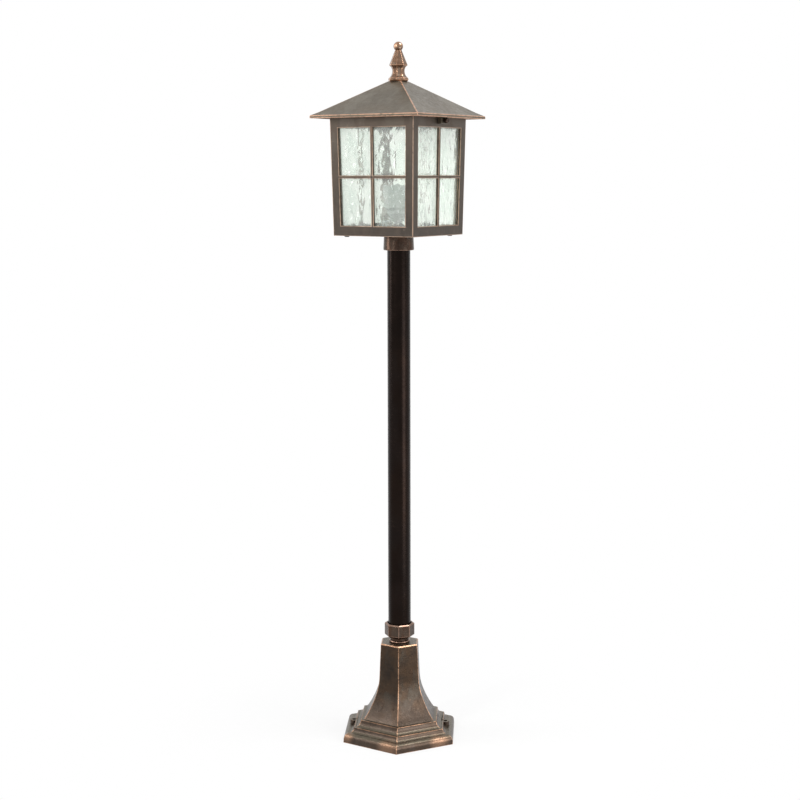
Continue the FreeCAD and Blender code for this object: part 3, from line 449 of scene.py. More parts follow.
# the foot's finish paints light: its low colour is a painted reflection of the floor on the lower
# bell, and its three copper spots are painted highlights on the moulding
CAST = AgedBronze("aged_cast_bronze", "2C2520", "54402F", "403C36",
                  copper="B48C70", dust="77705F", dust_share=0.7, low="51453D",
                  painted_light_span=(0.036, 0.088), rough=0.33, brushed=1.0, metal=0.92, stray=0.35,
                  rubbed=0.75,
                  painted_highlight_spots=((0.036, -0.099, 0.012, 0.026), (-0.049, -0.096, 0.014, 0.017),
                            (0.101, -0.024, 0.012, 0.025)))
FITTING = AgedBronze("aged_fitting_bronze", "33261F", "5E4638", "4B423A",
                     copper="A98876", cloud=34.0, rough=0.3, dust_share=0.2, stray=0.25,
                     rubbed=0.5, metal=0.92)
POLE = AgedBronze("aged_pole_bronze", "171210", "261C17", "211D1C",
                  cloud=9.0, stray=0.05, rough=0.27, brushed=0.15, cool_share=0.4, metal=1.0,
                  relief=0.00006)
# the body's finish paints light: it darkens towards its bottom, and painted shade darkens the
# window reveals
BODY = AgedBronze("aged_body_bronze", "493E34", "5B4C40", "675E53",
                  copper="B1957F", cloud=18.0, stray=0.2, rough=0.4, rubbed=0.7, metal=0.5,
                  low="2B231D", painted_light_span=(0.925, 1.135),
                  shaded_reveal_face=(0.0791, 0.8785, 3.8 / 198.5))
ROOF = AgedBronze("aged_roof_bronze", "554D40", "64594A", "706A5E",
                  copper="CDA084", cloud=12.0, stray=0.06, rough=0.38, brushed=0.6,
                  rubbed=0.8, metal=0.5)
FINIAL = AgedBronze("rubbed_finial_bronze", "634A3B", "927058", "84776A",
                    copper="C0977B", cloud=60.0, speck=90.0, stray=0.1, rough=0.24,
                    brushed=0.1, metal=0.95, relief=0.00008)
ZINC = PlainMetal("zinc_plated_steel", "B9BCBC", "8E9091")
DARK_STEEL = PlainMetal("blackened_steel", "3A3633", "2A2725", rough=0.42, metal=0.8)
DARK_BRASS = PlainMetal("aged_brass_strip", "7D7566", "5C5548", rough=0.45)
BRASS = PlainMetal("spring_brass", "B8975A", "8F7444", rough=0.36)
NICKEL = PlainMetal("nickel_thread", "C8C4B8", "99958A", rough=0.28)
CERAMIC = Moulded("glazed_ceramic", "868C8A", "707674", rough=0.28, coat=0.3)
NYLON = Moulded("white_nylon", "D9D7CF", "BFBCB2", rough=0.5)
RUBBER = Moulded("black_rubber", "22211F", "302E2B", rough=0.62, relief=0.0001)
GLASS = WaterGlass("water_glass_pane")


# ---- mesh making ----

class Section(Enum):
    """How a ring of a growing piece is drawn."""

    FLAT = "with straight sides, sized by the half width to a side"
    ROUND = "as a circle, sized by its radius"


Ring = tuple[float, float, Section]


def sided(*corners: tuple[float, float]) -> list[Ring]:
    """Give straight-sided rings for half widths and heights."""
    return [(half, z, Section.FLAT) for half, z in corners]


def circular(*corners: tuple[float, float]) -> list[Ring]:
    """Give circular rings for radii and heights."""
    return [(radius, z, Section.ROUND) for radius, z in corners]


def swept(start: tuple[float, float], end: tuple[float, float], radius: float, side: int,
          steps: int) -> list[tuple[float, float]]:
    """Give the points of an arc between two outline corners, without its start.

    Args:
        start: the corner that the arc leaves, as half width and height.
        end: the corner that it reaches.
        radius: its radius.
        side: 1 if its centre is on the left of the way, -1 if on the right.
        steps: how many straight pieces stand for it.

    Returns:
        Half widths and heights, the last one being the end.
    """
    first, last = Vector(start), Vector(end)
    half = (last - first) / 2
    across = Vector((-half.y, half.x)).normalized() * side
    centre = first + half + across * math.sqrt(max(radius ** 2 - half.length ** 2, 0.0))
    spoke = first - centre
    sweep = spoke.angle_signed(last - centre)
    points = []
    for step in range(1, steps + 1):
        turned = Matrix.Rotation(-sweep * step / steps, 2) @ spoke
        points.append(tuple(centre + turned))
    return points


def traced(*corners: tuple[float, ...]) -> list[tuple[float, float]]:
    """Trace an outline through corners.

    Args:
        corners: half widths and heights; a corner that also has a radius, a side and a number of
            steps, as for swept, is reached along an arc.

    Returns:
        The points of the outline.
    """
    points = []
    for half, z, *arc in corners:
        points += swept(points[-1], (half, z), *arc) if arc else [(half, z)]
    return points


def outwards(degrees: float, distance: float, z: float) -> Matrix:
    """Lay a piece that was made upright along the direction at an angle, at a distance."""
    return (Matrix.Rotation(math.radians(degrees), 4, "Z") @ Matrix.Translation((distance, 0, z))
            @ Matrix.Rotation(math.radians(90), 4, "Y"))


class Blank:
    """A mesh in the making, in millimetres."""

    def __init__(self) -> None:
        """Start with an empty mesh that has a layer for worn edges."""
        self.mesh = bmesh.new()
        self.mesh.verts.layers.float.new(WEAR)

    def rings(self, outline: Sequence[Ring], sides: int, normal: float = 0.0, cuts: int = 0,
              closed: bool = False, place: Matrix | None = None) -> "Blank":
        """Grow a shell ring by ring along an outline, as the blank's first shape.

        Args:
            outline: the rings, in order; a run up the outside has its solid on the left.
            sides: the number of straight sides.
            normal: the direction that the first side faces, in degrees.
            cuts: how many extra points each side has, so that it can turn circular.
            closed: True joins the last ring to the first; otherwise both are capped.
            place: where the finished shell goes.

        Returns:
            The blank itself.
        """
        mesh = self.mesh
        size, z, section = outline[0]
        made = bmesh.ops.create_circle(mesh, cap_ends=False, radius=1.0, segments=sides)
        verts = made["verts"]
        turn = Matrix.Rotation(math.radians(normal + 180 / sides - 90), 3, "Z")
        bmesh.ops.rotate(mesh, verts=verts, cent=(0, 0, 0), matrix=turn)
        edges = list({edge for vert in verts for edge in vert.link_edges})
        if cuts:
            bmesh.ops.subdivide_edges(mesh, edges=edges, cuts=cuts)
            verts, edges = mesh.verts[:], mesh.edges[:]
        bmesh.ops.translate(mesh, verts=verts, vec=(0, 0, z))
        self._draw_ring(verts, sides, normal, size, section)
        first = edges
        everything = list(verts)
        for (last_size, last_z, last_section), (size, z, section) in zip(outline, outline[1:]):
            grown = bmesh.ops.extrude_edge_only(mesh, edges=edges)["geom"]
            verts = [item for item in grown if isinstance(item, bmesh.types.BMVert)]
            ends = set(verts)
            edges = [item for item in grown if isinstance(item, bmesh.types.BMEdge)
                     and all(vert in ends for vert in item.verts)]
            bmesh.ops.translate(mesh, verts=verts, vec=(0, 0, z - last_z))
            if section is last_section:
                share = size / last_size
                bmesh.ops.scale(mesh, verts=verts, vec=(share, share, 1))
            else:
                self._draw_ring(verts, sides, normal, size, section)
            everything += verts
        if closed:
            bmesh.ops.bridge_loops(mesh, edges=first + edges)
        else:
            bmesh.ops.edgeloop_fill(mesh, edges=first)
            bmesh.ops.edgeloop_fill(mesh, edges=edges)
        faces = list({face for vert in everything for face in vert.link_faces})
        bmesh.ops.recalc_face_normals(mesh, faces=faces)
        if place is not None:
            bmesh.ops.transform(mesh, matrix=place, verts=everything)
        return self

    @staticmethod
    def _draw_ring(verts: Iterable[bmesh.types.BMVert], sides: int, normal: float,
                   size: float, section: Section) -> None:
        """Move a ring's points out to straight sides or to a circle, keeping their directions.

        Args:
            verts: the ring's points.
            sides: the number of straight sides.
            normal: the direction that the first side faces, in degrees.
            size: the half width to a side, or the radius.
            section: how the ring is drawn.
        """
        step = 2 * math.pi / sides
        for vert in verts:
            angle = math.atan2(vert.co.y, vert.co.x)
            reach = size
            if section is Section.FLAT:
                within = (angle - math.radians(normal) + step / 2) % step - step / 2
                reach = size / math.cos(within)
            vert.co.x, vert.co.y = reach * math.cos(angle), reach * math.sin(angle)

    def block(self, low: Sequence[float], high: Sequence[float]) -> "Blank":
        """Add an upright block between two corners.

        Args:
            low: its lowest corner.
            high: its highest corner.

        Returns:
            The blank itself.
        """
        size = [top - bottom for bottom, top in zip(low, high)]
        middle = [(top + bottom) / 2 for bottom, top in zip(low, high)]
        made = bmesh.ops.create_cube(self.mesh, size=1.0)["verts"]
        bmesh.ops.scale(self.mesh, verts=made, vec=size)
        bmesh.ops.translate(self.mesh, verts=made, vec=middle)
        return self

    def ball(self, radius: float, z: float) -> "Blank":
        """Add a ball on the axis.

        Args:
            radius: its radius.
            z: the height of its centre.

        Returns:
            The blank itself.
        """
        made = bmesh.ops.create_uvsphere(
            self.mesh, u_segments=48, v_segments=32, radius=radius)["verts"]
        bmesh.ops.translate(self.mesh, verts=made, vec=(0, 0, z))
        return self

    def ease_edges(self, offset: float, support: float, segments: int = 2,
                   worn: float = 1.0) -> "Blank":
        """Round the sharp outer edges, mark them as worn and keep the wear close to them.

        Args:
            offset: how far the rounding reaches from an edge.
            support: how far the wear fades beyond it.
            segments: how many faces go round an edge.
            worn: how worn the edges are, from 0 to 1.

        Returns:
            The blank itself.
        """
        mesh = self.mesh
        sharp = [edge for edge in mesh.edges if len(edge.link_faces) == 2 and edge.is_convex
                 and edge.calc_face_angle() > SHARP]
        if not sharp:
            return self
        eased = set(bmesh.ops.bevel(
            mesh, geom=sharp, offset=offset, offset_type="OFFSET", affect="EDGES",
            segments=segments, profile=0.5, material=-1, clamp_overlap=True)["faces"])
        layer = mesh.verts.layers.float[WEAR]
        for face in eased:
            for vert in face.verts:
                vert[layer] = worn
        if support:
            wide = [face for island in self._islands(eased) for face in island
                    if self._width(island) > 3.2 * support]
            bmesh.ops.inset_region(mesh, faces=wide, thickness=support, depth=0.0,
                                   use_boundary=True, use_even_offset=True)
            for vert in mesh.verts:
                if not any(face in eased for face in vert.link_faces):
                    vert[layer] = 0.0
        return self

    def _islands(self, eased: set[bmesh.types.BMFace]) -> list[set[bmesh.types.BMFace]]:
        """Give the groups of joined faces that the eased edges leave between them.

        Args:
            eased: the faces that round the edges.

        Returns:
            The faces of each group.
        """
        left = {face for face in self.mesh.faces if face not in eased}
        islands = []
        while left:
            island = {left.pop()}
            front = list(island)
            while front:
                for edge in front.pop().edges:
                    for near in edge.link_faces:
                        if near in left:
                            left.discard(near)
                            island.add(near)
                            front.append(near)
            islands.append(island)
        return islands

    @staticmethod
    def _width(island: set[bmesh.types.BMFace]) -> float:
        """Give about how wide a group of faces is.

        Args:
            island: its faces.

        Returns:
            Twice its area for each length of its rim.
        """
        area = sum(face.calc_area() for face in island)
        rim = sum(edge.calc_length() for face in island for edge in face.edges
                  if any(near not in island for near in edge.link_faces))
        return 2 * area / rim if rim else area

    def join(self, other: "Blank") -> "Blank":
        """Add another blank's mesh to this one.

        Args:
            other: the blank that is added.

        Returns:
            The blank itself.
        """
        held = bpy.data.meshes.new("held")
        other.mesh.to_mesh(held)
        self.mesh.from_mesh(held)
        bpy.data.meshes.remove(held)
        return self

    def bore(self, other: "Blank") -> "Blank":
        """Drill this blank with another one's shape.

        Args:
            other: the drill, closed and with its faces outwards.

        Returns:
            The blank itself.
        """
        pair = []
        for source in (self, other):
            held = bpy.data.meshes.new("held")
            source.mesh.to_mesh(held)
            item = bpy.data.objects.new("held", held)
            bpy.context.scene.collection.objects.link(item)
            pair.append(item)
        cutting = pair[0].modifiers.new("bore", "BOOLEAN")
        cutting.operation, cutting.solver, cutting.object = "DIFFERENCE", "EXACT", pair[1]
        bpy.context.view_layer.update()
        evaluated = pair[0].evaluated_get(bpy.context.evaluated_depsgraph_get())
        result = bpy.data.meshes.new_from_object(evaluated)
        self.mesh.clear()
        self.mesh.from_mesh(result)
        for item in pair:
            held = item.data
            bpy.data.objects.remove(item)
            bpy.data.meshes.remove(held)
        bpy.data.meshes.remove(result)
        return self

    def finish(self, name: str, material: bpy.types.Material, body: str, slot: str,
               node: str, weighted: bool = True) -> None:
        """Make the blank a piece of the model.

        Args:
            name: the piece's name.
            material: its finish.
            body: the body that it moves with.
            slot: the record's material slot; not used.
            node: the CAD node that it stands for.
            weighted: True keeps broad faces flat in the light.
        """
        mesh = self.mesh
        bmesh.ops.scale(mesh, verts=mesh.verts, vec=(MILLI, MILLI, MILLI))
        for face in mesh.faces:
            face.smooth = True
        for edge in mesh.edges:
            edge.smooth = not (len(edge.link_faces) == 2 and edge.calc_face_angle() > CREASE)
        data = bpy.data.meshes.new(name)
        mesh.to_mesh(data)
        mesh.free()
        data.materials.append(material)
        piece = bpy.data.objects.new(name, data)
        bpy.context.scene.collection.objects.link(piece)
        if weighted:
            piece.modifiers.new("flat_faces", "WEIGHTED_NORMAL").keep_sharp = True
        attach(piece, body)
        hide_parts(node)
        log.info("%s: %d faces on %s", name, len(data.polygons), body)


def dress(material: bpy.types.Material, *nodes: str) -> None:
    """Give CAD nodes a finish; their shapes are kept.

    Args:
        material: the finish.
        nodes: the nodes' names.
    """
    for name in nodes:
        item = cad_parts[name]
        item.data.materials.clear()
        item.data.materials.append(material)
        log.info("%s: CAD shape with %s", name, material.name)


# ---- sub-assemblies, from the ground up ----

def bore_grubs(blank: Blank, z: float, depth: float) -> None:
    """Bore the holes of a pole socket's two grub screws.

    Args:
        blank: the socket.
        z: the holes' height.
        depth: how far the drill goes out from inside the pole.
    """
    radius, start = 2.5, 18.7
    for degrees in (52.5, 142.5):
        drill = circular((radius, 0.0), (radius, depth))
        blank.bore(Blank().rings(drill, 24, place=outwards(degrees, start, z)))


@dataclass
class Foot:
    """Hexagonal stepped foot and bell, hollow, with two bored bosses."""

    material: bpy.types.Material
    half: float = 95.4
    boss_radius: float = 7.2
    bolt_radius: float = 3.3
    drill_radius: float = 6.2
    boss_top: float = 23.4
    boss_at: float = 81.0
    boss_turns: tuple[float, float] = (30.0, 210.0)

    def outside(self) -> list[tuple[float, float]]:
        """Give the outline of the outside, from the ground up."""
        return traced(
            (self.half, 0.0), (95.0, 6.0), (85.4, 15.6, 9.6, 1, 9), (77.9, 21.8, 7.6, -1, 7),
            (77.5, 24.0), (76.3, 24.0), (66.4, 33.0, 10.0, -1, 7), (66.0, 35.2), (60.2, 36.1),
            (41.2, 73.7, 177.0, -1, 8), (34.5, 105.0, 105.0, -1, 8), (31.8, 166.0), (30.4, 167.4))

    def inside(self) -> list[tuple[float, float]]:
        """Give the outline of the hollow, from the top down."""
        return traced(
            (12.1, 167.4), (12.1, 161.4), (27.8, 161.4), (30.5, 105.0),
            (37.2, 73.7, 109.0, 1, 6), (56.2, 31.8, 181.0, 1, 6),
            (62.0, 29.0), (66.0, 21.2), (74.7, 12.8), (85.4, 11.6), (91.4, 6.0), (91.4, 0.0))

    def build(self) -> None:
        """Make the casting."""
        shell = Blank().rings(sided(*self.outside(), *self.inside()), 6, 30.0, closed=True)
        spots = [Matrix.Translation(outwards(degrees, self.boss_at, 0.0).translation)
                 for degrees in self.boss_turns]
        drill = circular((self.drill_radius, -2.0), (self.drill_radius, 40.0))
        for spot in spots:
            shell.bore(Blank().rings(drill, 40, place=spot))
        shell.ease_edges(0.9, 1.7)
        for spot in spots:
            boss = Blank().rings(circular(
                (self.boss_radius, 0.0), (self.boss_radius, self.boss_top),
                (self.bolt_radius, self.boss_top), (self.bolt_radius, 0.0)),
                40, closed=True, place=spot)
            shell.join(boss.ease_edges(0.6, 0.7, worn=0.3))
        shell.finish("foot_and_bell", self.material, "post", "cast_bronze", "base_casting")


@dataclass
class PoleSocket:
    """Octagonal coupling with its neck and bead, between bell and pole."""

    material: bpy.types.Material
    low: float = 149.4
    bell_top: float = 167.4
    spigot: float = 12.0
    cable_way: float = 8.0
    bead: float = 18.3
    bead_rise: float = 2.0
    neck: float = 15.5
    ring_low: float = 175.5
    ring_foot: float = 17.6
    ring_half: float = 24.2
    ring_top: float = 201.8
    mouth: float = 21.4
    mouth_depth: float = 4.0
    socket: float = 19.75
    pole_low: float = 181.5
    grub_z: float = 189.5

    def build(self) -> None:
        """Make the coupling."""
        rise, bead_in = self.bead_rise, self.bead - self.bead_rise
        mouth_low = self.ring_top - self.mouth_depth
        outline = circular(*traced(
            (self.spigot - 0.8, self.low), (self.spigot, self.low + 0.8),
            (self.spigot, self.bell_top), (bead_in, self.bell_top),
            (self.bead, self.bell_top + rise, rise, 1, 4),
            (bead_in, self.bell_top + 2 * rise, rise, 1, 4),
            (self.neck, self.bell_top + 2 * rise), (self.neck, self.ring_low)))
        outline += sided(
            (self.ring_foot, self.ring_low), (self.ring_half, self.ring_low + 5.0),
            (self.ring_half, self.ring_top - 1.6), (self.ring_half - 1.6, self.ring_top))
        outline += circular(
            (self.mouth, self.ring_top), (self.mouth, mouth_low), (self.socket, mouth_low),
            (self.socket, self.pole_low), (self.cable_way, self.pole_low),
            (self.cable_way, self.low))
        blank = Blank().rings(outline, 8, 7.5, cuts=7, closed=True).ease_edges(0.5, 0.7)
        bore_grubs(blank, self.grub_z, 9.0)
        blank.finish("pole_coupling", self.material, "post", "cast_bronze", "coupling")


@dataclass
class Pole:
    """Round tube between coupling and lantern."""

    material: bpy.types.Material
    radius: float = 19.7
    wall: float = 2.0
    low: float = 181.5
    top: float = 873.9

    def build(self) -> None:
        """Make the tube."""
        inner = self.radius - self.wall
        middle = (self.low + self.top) / 2
        blank = Blank().rings(circular(
            (self.radius, self.low), (self.radius, middle), (self.radius, self.top),
            (inner, self.top), (inner, self.low)), 96, closed=True)
        blank.finish("round_pole", self.material, "post", "pole_bronze", "pole_tube")


@dataclass
class LanternCollar:
    """Socket under the lantern that drops over the pole."""

    material: bpy.types.Material
    low: float = 853.3
    top: float = 879.9
    low_radius: float = 26.1
    top_radius: float = 25.0
    mouth: float = 22.6
    mouth_depth: float = 2.6
    socket: float = 19.75
    pole_top: float = 873.9
    spigot: float = 10.0
    spigot_top: float = 893.0
    cable_way: float = 6.5
    grub_z: float = 865.3

    def build(self) -> None:
        """Make the collar."""
        mouth_top = self.low + self.mouth_depth
        blank = Blank().rings(circular(
            (self.mouth, self.low), (self.low_radius - 0.5, self.low),
            (self.low_radius, self.low + 1.6), (self.top_radius, self.top),
            (self.spigot, self.top), (self.spigot, self.spigot_top),
            (self.cable_way, self.spigot_top), (self.cable_way, self.pole_top),
            (self.socket, self.pole_top), (self.socket, mouth_top), (self.mouth, mouth_top)),
            80, closed=True)
        blank.ease_edges(0.5, 0.9)
        bore_grubs(blank, self.grub_z, 10.0)
        blank.finish("lantern_socket", self.material, "lantern", "cast_bronze", "lantern_collar")


@dataclass
class LanternBody:
    """Four leaning sides with window bars, crossing bosses and corner lugs."""

    material: bpy.types.Material
    low: float = 878.5
    top: float = 1077.0
    low_half: float = 79.1
    lean: float = 3.8 / 198.5
    wall: float = 5.0
    stile: float = 15.5
    bar: float = 4.8
    window_low: float = 895.5
    window_top: float = 1057.0
    boss_radius: float = 3.2
    boss_rise: float = 0.6
    lug_in: float = 51.0
    lug_low: float = 881.9
    lug_top: float = 892.9

    @property
    def middle(self) -> float:
        """Give the height of the cross bar."""
        return (self.window_low + self.window_top) / 2

    def half(self, z: float) -> float:
        """Give the half width at a height."""
        return self.low_half + (z - self.low) * self.lean

    def walls(self) -> Blank:
        """Make the four walls with their windows.

        Returns:
            The walls, with their thickness.
        """
        blank = Blank()
        blank.rings(sided((self.low_half, self.low), (self.half(self.top), self.top)), 4)
        mesh = blank.mesh
        flat = [face for face in mesh.faces if abs(face.normal.z) > 0.9]
        bmesh.ops.delete(mesh, geom=flat, context="FACES_ONLY")
        levels = (self.window_low, self.middle - self.bar / 2, self.middle + self.bar / 2,
                  self.window_top)
        planes = [((0, 0, z), (0, 0, 1)) for z in levels]
        for side in (-1, 1):
            bar_side = side * self.bar / 2
            edge = side * (self.half(self.low) - self.stile)
            planes += [((bar_side, 0, 0), (1, 0, 0)), ((0, bar_side, 0), (0, 1, 0)),
                       ((edge, 0, self.low), (1, 0, -side * self.lean)),
                       ((0, edge, self.low), (0, 1, -side * self.lean))]
        for point, normal in planes:
            everything = mesh.verts[:] + mesh.edges[:] + mesh.faces[:]
            bmesh.ops.bisect_plane(mesh, geom=everything, plane_co=point, plane_no=normal)
        openings = [face for face in mesh.faces if self._in_window(face.calc_center_median())]
        bmesh.ops.delete(mesh, geom=openings, context="FACES_ONLY")
        bmesh.ops.recalc_face_normals(mesh, faces=mesh.faces)
        bmesh.ops.solidify(mesh, geom=mesh.faces[:], thickness=self.wall)
        bmesh.ops.recalc_face_normals(mesh, faces=mesh.faces)
        return blank

    def _in_window(self, middle: Vector) -> bool:
        """Tell whether a face of a wall lies in a window cell.

        Args:
            middle: the middle of the face.

        Returns:
            True for a face that is cut out.
        """
        across = min(abs(middle.x), abs(middle.y))
        in_column = self.bar / 2 < across < self.half(middle.z) - self.stile
        in_row = self.window_low < middle.z < self.window_top
        return in_column and in_row and abs(middle.z - self.middle) > self.bar / 2

    def build(self) -> None:
        """Make the body casting."""
        blank = self.walls().ease_edges(0.75, 0.85)
        face = self.half(self.middle)
        for degrees in (0, 90, 180, 270):
            boss = Blank().rings(circular(
                (self.boss_radius, -self.wall + 0.2), (self.boss_radius, self.boss_rise)), 32,
                place=outwards(degrees, face, self.middle))
            blank.join(boss.ease_edges(0.3, 0.4))
        reach = self.half(self.lug_low) - self.wall / 2
        lugs = Blank()
        for side_x in (-1, 1):
            for side_y in (-1, 1):
                near_x, far_x = sorted((side_x * self.lug_in, side_x * reach))
                near_y, far_y = sorted((side_y * self.lug_in, side_y * reach))
                lugs.block((near_x, near_y, self.lug_low), (far_x, far_y, self.lug_top))
        blank.join(lugs.ease_edges(0.5, 0.0))
        blank.finish("lantern_body", self.material, "lantern", "lantern_bronze", "body_frame")


class Pane(Enum):
    """The four panes and the direction that each faces, in degrees from the front."""

    FRONT = 0
    RIGHT = 90
    BACK = 180
    LEFT = 270


@dataclass
class Glazing:
    """Four panes of drawn water glass in the body's windows."""

    material: bpy.types.Material
    body: LanternBody
    low: float = 893.0
    top: float = 1062.0
    side_gap: float = 10.5
    face_gap: float = 0.1
    sheet: float = 3.0
    ripple: float = 0.36
    pitch: float = 2.0
    # each wave's width, its length, its place in the noise and its share, in millimetres
    waves: tuple[tuple[float, float, float, float], ...] = (
        (9.0, 15.0, 0.0, 0.6), (22.0, 40.0, 40.0, 0.4), (5.5, 8.0, 90.0, 0.12))

    def swell(self, across: float, z: float, seed: float) -> float:
        """Give how far the surface stands proud at a spot, in millimetres.

        Args:
            across: the spot's distance from the pane's middle line.
            z: its height.
            seed: sets the noise of one surface apart from the others.

        Returns:
            The rise, below zero for a hollow.
        """
        return self.ripple * sum(
            share * noise.noise(Vector((across / wide, z / long, seed + shift)))
            for wide, long, shift, share in self.waves)

    def flat_sheet(self) -> Blank:
        """Make an upright sheet that faces the front and widens as the body does.

        Returns:
            The sheet, with its thickness.
        """
        blank = Blank()
        mesh = blank.mesh
        wide, height = self.body.half(self.low) - self.side_gap, self.top - self.low
        bmesh.ops.create_grid(mesh, x_segments=round(2 * wide / self.pitch),
                              y_segments=round(height / self.pitch), size=1.0)
        bmesh.ops.scale(mesh, verts=mesh.verts, vec=(wide, height / 2, 1))
        for vert in mesh.verts:
            vert.co.x *= 1 + self.body.lean * (vert.co.y + height / 2) / wide
        bmesh.ops.rotate(mesh, verts=mesh.verts, cent=(0, 0, 0),
                         matrix=Matrix.Rotation(math.radians(90), 3, "X"))
        bmesh.ops.translate(mesh, verts=mesh.verts, vec=(0, 0, (self.low + self.top) / 2))
        bmesh.ops.recalc_face_normals(mesh, faces=mesh.faces)
        bmesh.ops.solidify(mesh, geom=mesh.faces[:], thickness=self.sheet - 2 * self.ripple)
        return blank

    def pane(self, which: Pane) -> None:
        """Make one pane.

        Args:
            which: the side that it stands on.
        """
        blank = self.flat_sheet()
        mesh = blank.mesh
        rim = {vert for edge in mesh.edges if len(edge.link_faces) == 2
               and edge.calc_face_angle() > 1.0 for vert in edge.verts}
        deep = sum(vert.co.y for vert in mesh.verts) / len(mesh.verts)
        for vert in mesh.verts:
            outer = vert.co.y < deep
            face = self.body.half(vert.co.z) - self.body.wall - self.face_gap
            rise = self.ripple if outer else self.sheet - self.ripple
            seed = which.value + (0.0 if outer else 300.0)
            swell = 0.0 if vert in rim else self.swell(vert.co.x, vert.co.z, seed)
            vert.co.y = rise - face + swell
        bmesh.ops.rotate(mesh, verts=mesh.verts, cent=(0, 0, 0),
                         matrix=Matrix.Rotation(math.radians(which.value), 3, "Z"))
        bmesh.ops.recalc_face_normals(mesh, faces=mesh.faces)
        side = which.name.lower()
        blank.finish(f"water_pane_{side}", self.material, "lantern", "water_glass",
                     f"glass_{side}", weighted=False)

    def build(self) -> None:
        """Make the four panes."""
        for which in Pane:
            self.pane(which)


@dataclass
class Roof:
    """Four slopes with a turned-down eave, and the skirt, seat and lugs under them."""

    material: bpy.types.Material
    eave_half: float = 106.8
    eave_low: float = 1073.0
    eave_top: float = 1077.5
    flare_half: float = 96.0
    flare_top: float = 1083.2
    top_half: float = 12.2
    top: float = 1134.9
    wall: float = 3.2
    hole: float = 3.2
    skirt_inner: float = 84.6
    skirt_outer: float = 87.1
    skirt_low: float = 1073.5
    skirt_top: float = 1086.9
    seat_inner: float = 78.4
    seat_low: float = 1077.1
    seat_top: float = 1079.6
    lug: tuple[float, float] = (84.0, 90.4)
    lug_low: float = 1063.0
    lug_half: float = 10.0
    screw_z: float = 1068.3
    drill_radius: float = 2.05

    def build(self) -> None:
        """Make the roof."""
        inner_half = self.eave_half - self.wall
        flare = (self.flare_top - self.eave_top) / (self.eave_half - self.flare_half)
        outline = sided(
            (self.eave_half, self.eave_low), (self.eave_half, self.eave_top),
            (self.flare_half, self.flare_top), (self.top_half, self.top))
        outline += circular((self.hole, self.top), (self.hole, self.top - self.wall))
        outline += sided(
            (self.top_half, self.top - self.wall), (self.flare_half, self.flare_top - self.wall),
            (inner_half, self.eave_top - self.wall + flare * self.wall),
            (inner_half, self.eave_low))
        blank = Blank().rings(outline, 4, 0.0, cuts=7, closed=True).ease_edges(0.6, 1.0)
        under = Blank().rings(sided(
            (self.skirt_outer, self.skirt_low), (self.skirt_outer, self.skirt_top),
            (self.skirt_inner, self.skirt_top), (self.skirt_inner, self.seat_top),
            (self.seat_inner, self.seat_top), (self.seat_inner, self.seat_low),
            (self.skirt_inner, self.seat_low), (self.skirt_inner, self.skirt_low)), 4, closed=True)
        blank.join(under.ease_edges(0.4, 0.0))
        drill = circular((self.drill_radius, 0.0), (self.drill_radius, 12.0))
        for side in (-1, 1):
            near, far = sorted(side * reach for reach in self.lug)
            lug = Blank().block(
                (near, -self.lug_half, self.lug_low), (far, self.lug_half, self.skirt_low + 2.5))
            lug.ease_edges(0.7, 0.0, worn=0.1)
            place = outwards(90 - 90 * side, self.lug[0] - 2, self.screw_z)
            blank.join(lug.bore(Blank().rings(drill, 24, place=place)))
        blank.finish("roof_cap", self.material, "roof", "roof_bronze", "roof_shell")


@dataclass
class ThumbScrew:
    """Knurled screw through one of the roof's lugs."""

    material: bpy.types.Material
    side: str
    degrees: float
    tip: float = 83.15
    head_start: float = 90.7
    head_end: float = 97.3
    tip_radius: float = 1.6
    radius: float = 2.0
    rim_radius: float = 3.8
    head_radius: float = 4.6
    dish_radius: float = 2.4
    z: float = 1068.3
    flutes: int = 24
    flute_share: float = 0.93

    def build(self) -> None:
        """Make the screw and lay it in its direction."""
        neck = self.head_start - self.tip
        end = self.head_end - self.tip
        grip = (neck + 0.8, neck + 1.1, end - 1.1, end - 0.8)
        blank = Blank().rings(circular(
            (self.tip_radius, 0.0), (self.radius, 0.4), (self.radius, neck),
            (self.rim_radius, neck), *((self.head_radius, height) for height in grip),
            (self.rim_radius, end), (self.dish_radius, end), (self.dish_radius - 0.3, end - 0.5)),
            2 * self.flutes)
        valleys = [vert for vert in blank.mesh.verts if self._in_flute(vert.co, grip[0], grip[3])]
        bmesh.ops.scale(blank.mesh, verts=valleys, vec=(self.flute_share, self.flute_share, 1))
        blank.ease_edges(0.12, 0.0, 1, worn=0.25)
        bmesh.ops.transform(blank.mesh, verts=blank.mesh.verts,
                            matrix=outwards(self.degrees, self.tip, self.z))
        blank.finish(f"thumb_screw_{self.side}", self.material, f"thumbscrew_{self.side}",
                     "roof_bronze", f"roof_screw_{self.side}")

    def _in_flute(self, point: Vector, low: float, high: float) -> bool:
        """Tell whether a point of the head's rim lies at the bottom of a flute.

        Args:
            point: a point of the upright screw.
            low: where the flutes begin.
            high: where they end.

        Returns:
            True for a point that is pushed in.
        """
        turn = round(math.degrees(math.atan2(point.y, point.x)) * self.flutes / 180)
        on_rim = point.to_2d().length > self.head_radius - 0.1
        return low < point.z < high and on_rim and turn % 2 == 1


